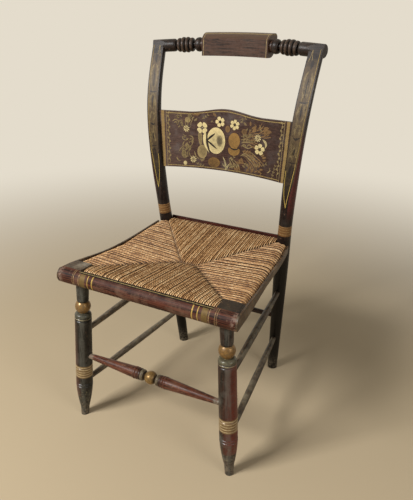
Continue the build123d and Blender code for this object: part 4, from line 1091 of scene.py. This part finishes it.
# %% Dim bronze on the slat
DIM_LEAVES = [
    ((-126, 704), (-125, 698)), ((-129, 699), (-122, 700)), ((-124, 691), (-117, 693)),
    ((-120, 686), (-113, 690)), ((-118, 680), (-112, 684)), ((-125, 675), (-120, 681)),
    ((-89, 699), (-82, 705)), ((-82, 694), (-74, 701)), ((-96, 636), (-103, 620)),
    ((-91, 633), (-94, 619)), ((-99, 639), (-107, 628)), ((-94, 647), (-88, 652)),
    ((-89, 640), (-83, 649)), ((-37, 695), (-31, 699)), ((42, 701), (50, 704)), ((51, 702), (59, 695)),
    ((63, 689), (58, 683)), ((69, 688), (68, 679)), ((93, 694), (100, 692)), ((95, 686), (101, 689)),
    ((50, 671), (61, 675)), ((63, 667), (74, 671)), ((66, 672), (75, 677)), ((-64, 602), (-57, 595)),
    ((-58, 597), (-51, 605)), ((53, 599), (61, 594)), ((63, 598), (69, 605)), ((82, 604), (91, 607)),
    ((86, 600), (97, 606)), ((17, 610), (24, 615)), ((26, 590), (17, 592)), ((-110, 627), (-114, 617)),
    ((-102, 611), (-117, 610)), ((-113, 619), (-102, 612)), ((-116, 606), (-101, 606)),
    ((-112, 601), (-98, 605)),
]
CURLS = [
    [(46, 660), (59, 664), (71, 662), (81, 665)], [(47, 653), (63, 656), (80, 656)],
    [(48, 644), (54, 649), (60, 647), (57, 643)], [(62, 644), (68, 651), (75, 648), (71, 644)],
    [(48, 648), (66, 642), (82, 650)], [(46, 621), (60, 628), (73, 621), (85, 613)],
    [(52, 623), (63, 622), (72, 614), (80, 610)], [(-141, 690), (-133, 695), (-125, 691), (-124, 682)],
    [(-137, 686), (-130, 689), (-127, 680)], [(-111, 655), (-113, 649), (-105, 645), (-95, 650)],
    [(-97, 657), (-87, 655), (-84, 646), (-88, 634), (-96, 629)],
    [(-108, 642), (-112, 634), (-110, 626)], [(93, 700), (97, 693), (91, 687)],
    [(22, 597), (33, 589), (41, 578)], [(-80, 619), (-76, 608), (-65, 599)],
    [(120, 590), (128, 596), (126, 604)], [(-130, 600), (-124, 592), (-116, 592)],
]
DIM_SPRAYS = [
    ((54, 606), (84, 592), 4), ((70, 622), (100, 610), 4), ((46, 668), (78, 672), 4),
    ((48, 658), (84, 660), 5), ((-112, 660), (-92, 640), 3), ((-76, 590), (-54, 584), 3),
    ((-134, 702), (-116, 706), 2), ((20, 604), (30, 618), 2), ((134, 580), (142, 612), 4),
    ((-62, 700), (-44, 712), 3), ((40, 706), (58, 712), 2), ((104, 604), (118, 612), 2),
]
dim = [leaf(start, tip, 0.45, rim=0.8, middle=0.45) for start, tip in DIM_LEAVES]
dim += [stroke(points, [0.5, 2.8, 2.3, 1.6, 0.2], 0.9, 0.7) for points in CURLS]
for base, tip, pairs in DIM_SPRAYS:
    dim += spray(base, tip, pairs, 5.5, rim=0.8, middle=0.5)
dim += fan((14, 620), (48, 585), (18, 586), 5, 0.12, 4.2)
dim += fan((42, 640), (96, 618), (86, 598), 4, 0.12, 2.4)
dim += fan((-98, 655), (-116, 698), (-84, 702), 4, 0.1, 2.2)
dim += fan((-96, 640), (-124, 612), (-88, 600), 5, -0.12, 2.4)
dim += [
    fruit(-99.4, 696, 15, 14, 1.05, 0.85, (0.0, -0.25)),
    fruit(-58.5, 620, 27, 34, 1.15, 0.6, (-0.2, -0.2)),
    stroke([(-66, 668), (-65, 653), (-63, 636)], [6, 11, 10, 8, 3], 0.9, 0.6),
    fruit(-94, 706, 11, 10, 0.7, 0.3),
]
print("dim marks in the middle:", len(dim))

# %% Vines at the ends of the slat
VINE_FOOT = (147.4, 582)
VINE_STEP = 9
for side in (-1, 1):
    spine = []
    for n in range(15):
        out = VINE_FOOT[0] + POST_RAKE * VINE_STEP * n + 1.2 * (-1) ** n
        spine.append((side * out, VINE_FOOT[1] + VINE_STEP * n))
    dim.append(stroke(spine, [1.0, 1.0], 0.8, 0.8))
    for n, (x, z) in enumerate(spine[1:], 1):
        out = side * 5 * (-1) ** n
        dim.append(leaf((x, z), (x - out, z + 5.5), 0.6, rim=1.1, middle=0.7))
rub_on("slat_dim_bronze", dim, nodes["back_slat"], 0.25, dim_bronze)

# %% Shading on the slat
shade = [
    stroke([(-46, 671), (-46.5, 656), (-43.5, 641), (-36, 617)], [0, 4, 4, 3.4, 0], 0.1, 0.1),
    stroke([(-45.5, 650), (-35, 660), (-24, 668.5)], [1.5, 5.5, 4.5, 1], 0.1, 0.1),
    stroke([(-45, 649), (-34, 641.5), (-19, 631)], [1.5, 4.5, 4.5, 1], 0.2, 0.2),
    stroke([(13, 641), (29, 634.5), (46, 641)], [0.5, 3.4, 3, 0.5], 0.1, 0.1),
    fruit(-11.8, 697.4, 5, 6, 0.3, 0.2),
    fruit(27.8, 693.9, 6, 7, 0.5, 0.9),
    fruit(96.9, 643.2, 5, 6, 0.4, 0.6),
]
rub_on("slat_umber_shading", shade, nodes["back_slat"], 0.6, umber)

# %% [markdown]
# ## The posts' bronze panels
# The flat front of each post has a long panel of olive bronze that fades out below the slat. Pale
# and dark figures stand in it, one above another, with dim upright streaks where the bronze is
# worn, and a thin gold outline runs down its outer edge to a yellow V. The marks could be placed by
# x and z, as on the slat. But the post leans, so here a place is a height and a distance from its
# axis, counted outwards, and one list serves both posts.

# %% Where the posts' axes are
POST_LINE = [
    (441, 173.5), (543, 180.6), (640, 187.9), (728, 194.2), (805, 199.1), (880, 203.4),
]


def on_post(side, places):
    """(x, z) points of (distance outwards from the axis, height) places on one post."""
    points = []
    for off, z in places:
        for (low, a), (high, b) in zip(POST_LINE, POST_LINE[1:]):
            if low <= z <= high:
                points.append((side * (between(a, b, (z - low) / (high - low)) + off), z))
    return points


# %% Figures on the posts
PANEL_SPINE = [(0, z) for z in (546, 585, 625, 665, 705, 745, 785, 825, 848)]
PANEL_WIDTHS = [8, 22, 26, 27.5, 28, 28, 28, 27.5, 26]
FADE_FOOT, FADE_RISE = 0.55, 0.11  # where its bronze starts, and how much higher it is full, in metres
FADE_TOP, FADE_DROP = 0.868, 0.045  # where it ends, and how far below that it starts to thin
FIGURES = [
    [(-3, 823), (-8, 812), (-8, 792), (-5, 768)], [(3, 823), (7, 812), (7.5, 792), (5, 768)],
    [(-1, 757), (-7, 745), (-8, 730), (-3, 719)], [(1, 757), (6, 745), (7.5, 730), (3, 719)],
    [(-1, 712), (-6, 702), (-6, 690)], [(1, 712), (6, 702), (6, 690)],
    [(-6.5, 640), (-3, 653), (0, 665)], [(7, 640), (3, 653), (0, 665)],
]
DARK_FIGURES = [
    ([(-1, 848), (0, 838), (-1, 826)], 7), ([(0, 812), (-0.5, 790), (0, 768)], 2.4),
    ([(-12, 760), (0, 758), (12, 760)], 3), ([(-1, 752), (-0.5, 738), (0, 722)], 3.6),
    ([(-8, 684), (-2, 680), (2, 681), (8, 684)], 5), ([(0, 660), (0.5, 652), (0, 644)], 4),
    ([(-10, 628), (0, 626), (10, 628)], 2.6), ([(0, 622), (-3, 608), (-1, 588)], 7),
    ([(3, 620), (5, 608), (2, 594)], 4), ([(-7, 604), (-6, 592)], 3),
]
OUTER_EDGE = [(11.2, 867), (11.3, 850), (11.4, 800), (11, 730), (10.3, 660), (8.5, 615)]
YELLOW_V = [
    [(8.5, 616), (6, 590), (2.5, 553), (-1, 516)],
    [(-11.7, 607), (-11, 580), (-8, 548), (-1, 516)],
]
POINTED_TOP = [(-10, 842), (-7.5, 855), (-6, 866), (-4.5, 855), (-2, 842)]
WORN_STREAKS = 26

# %% Lay the panels
for side, name in ((-1, "left"), (1, "right")):
    wood = nodes["rear_post_" + name]
    ground = stroke(on_post(side, PANEL_SPINE), PANEL_WIDTHS, 0.7, 0.6)
    for corner, amount in zip(ground.data.vertices, ground.data.attributes["bronze"].data):
        rising = (corner.co.z - FADE_FOOT) / FADE_RISE
        falling = (FADE_TOP - corner.co.z) / FADE_DROP
        amount.value *= min(1.0, max(0.0, rising), falling)
    rub_on("post_panel_" + name, [ground], wood, 0.2, post_bronze)
    pale = [stroke(on_post(side, places), [1, 4, 4.5, 3, 1], 0.5, 0.35) for places in FIGURES]
    for n in range(WORN_STREAKS):
        off, low, tall = hand.uniform(-11, 9), hand.uniform(600, 790), hand.uniform(20, 55)
        worn_line = on_post(side, [(off, low), (off + 0.5, low + tall)])
        pale.append(stroke(worn_line, [0.2, 1.8, 0.2], 0.45, 0.3))
    pale.append(stroke(on_post(side, POINTED_TOP), [0.9, 0.9], 0.8, 0.8))
    rub_on("post_figures_" + name, pale, wood, 0.4, dim_bronze)
    dark = [stroke(on_post(side, places), [0, wide, wide, 0], 0.6, 0.1) for places, wide in DARK_FIGURES]
    rub_on("post_shading_" + name, dark, wood, 0.5, umber)
    outline = [stroke(on_post(side, OUTER_EDGE), [1.1, 0.9], 0.45, 0.45)]
    outline += [stroke(on_post(side, arm), [1.0, 1.2], 1.1, 1.1) for arm in YELLOW_V]
    rub_on("post_outline_" + name, outline, wood, 0.4, yellow_line)

# %% [markdown]
# ## Studio
# The chair stands on warm pale paper. A large soft lamp from the front left gives the turnings their
# highlights, a weaker one from the right opens the shadows, and an even pale world fills the rest.
# The paper could curve up behind the chair, as in a real studio. Here it fades, away from the chair,
# into the colour that the camera sees of the world, so no horizon shows.

# %% Floor
BACKDROP = "#e4dccc"
FADE = (500, 2600)  # the floor turns into the backdrop between these distances


def seen_directly(tree):
    """1 for what the camera sees, also in a gloss or through glass, and 0 for what lights the chair."""
    path = add_node(tree, "LightPath").outputs
    return either(tree, path["Is Camera Ray"], path["Is Glossy Ray"], path["Is Transmission Ray"])


bpy.ops.object.select_all(action="DESELECT")
bpy.ops.mesh.primitive_plane_add(size=14, location=(0, 0, 0))
floor = bpy.context.object
floor.name = "studio_floor"
paper, tree = empty_material("studio_paper")
near = add_node(tree, "BsdfPrincipled", {"Base Color": linear("#bfac8c")})
near.inputs["Roughness"].default_value = 0.9
distant = add_node(tree, "Emission", {"Color": linear(BACKDROP), "Strength": 1.0})
here = add_node(tree, "TexCoord").outputs["Object"]
away = add_node(tree, "VectorMath", {0: here}, operation="LENGTH").outputs["Value"]
share = shared(tree, ramp(tree, away, *FADE), seen_directly(tree))
paper_mix = add_node(tree, "MixShader", {0: share, 1: near.outputs[0], 2: distant.outputs[0]})
add_node(tree, "OutputMaterial", {0: paper_mix.outputs[0]})
dress(floor, paper)
print("floor fades out from", FADE[0], "to", FADE[1], "mm")

# %% World
FILL = 0.22  # how strongly it lights the chair
world = bpy.data.worlds.new("studio_world")
bpy.context.scene.world = world
world.use_nodes = True
tree = world.node_tree
tree.nodes.clear()
fill = add_node(tree, "Background", {"Color": linear("#f6f2ea"), "Strength": FILL})
seen = add_node(tree, "Background", {"Color": linear(BACKDROP), "Strength": 1.0})
pick = add_node(tree, "MixShader", {0: seen_directly(tree), 1: fill.outputs[0], 2: seen.outputs[0]})
add_node(tree, "OutputWorld", {0: pick.outputs[0]})
print("world lights the chair at", FILL)


# %% Lamps
def lamp(name, place, aim, size, power):
    """A square soft lamp at a place, aimed at a point, in metres and watts."""
    light = bpy.data.lights.new(name, "AREA")
    light.size = size
    light.energy = power
    stand = bpy.data.objects.new(name, light)
    stand.location = place
    stand.rotation_euler = (Vector(aim) - Vector(place)).to_track_quat("-Z", "Y").to_euler()
    bpy.context.scene.collection.objects.link(stand)
    print(name, power, "W")


lamp("window_lamp_left", (-1.2, -2.1, 2.1), (0, 0, 0.5), 0.9, 96)
lamp("window_lamp_right", (2.3, -0.9, 1.5), (0, 0, 0.45), 1.0, 15)

# %% [markdown]
# ## Camera
# The camera looks down a little on the chair from its front right corner. It could track an empty
# at the seat. Three directions at right angles, the way back to the lens, up and right, give its
# turn exactly, with a slight roll.

# %% Camera
view = bpy.data.cameras.new("view")
view.lens = 36.626
view.shift_y = -0.0045
camera = bpy.data.objects.new("view", view)
bpy.context.scene.collection.objects.link(camera)
back = Vector((0.4219, -0.813, 0.40128)).normalized()
up = Vector((-0.19344, 0.35169, 0.91591))
right = up.cross(back).normalized()
up = back.cross(right)
camera.rotation_euler = Matrix((right, up, back)).transposed().to_euler()
camera.location = (0.5410, -0.98276, 0.91372)
bpy.context.scene.camera = camera
bpy.context.scene.view_settings.view_transform = "Standard"
print("lens", round(view.lens, 1), "mm, camera", round(camera.location.z, 2), "m up")
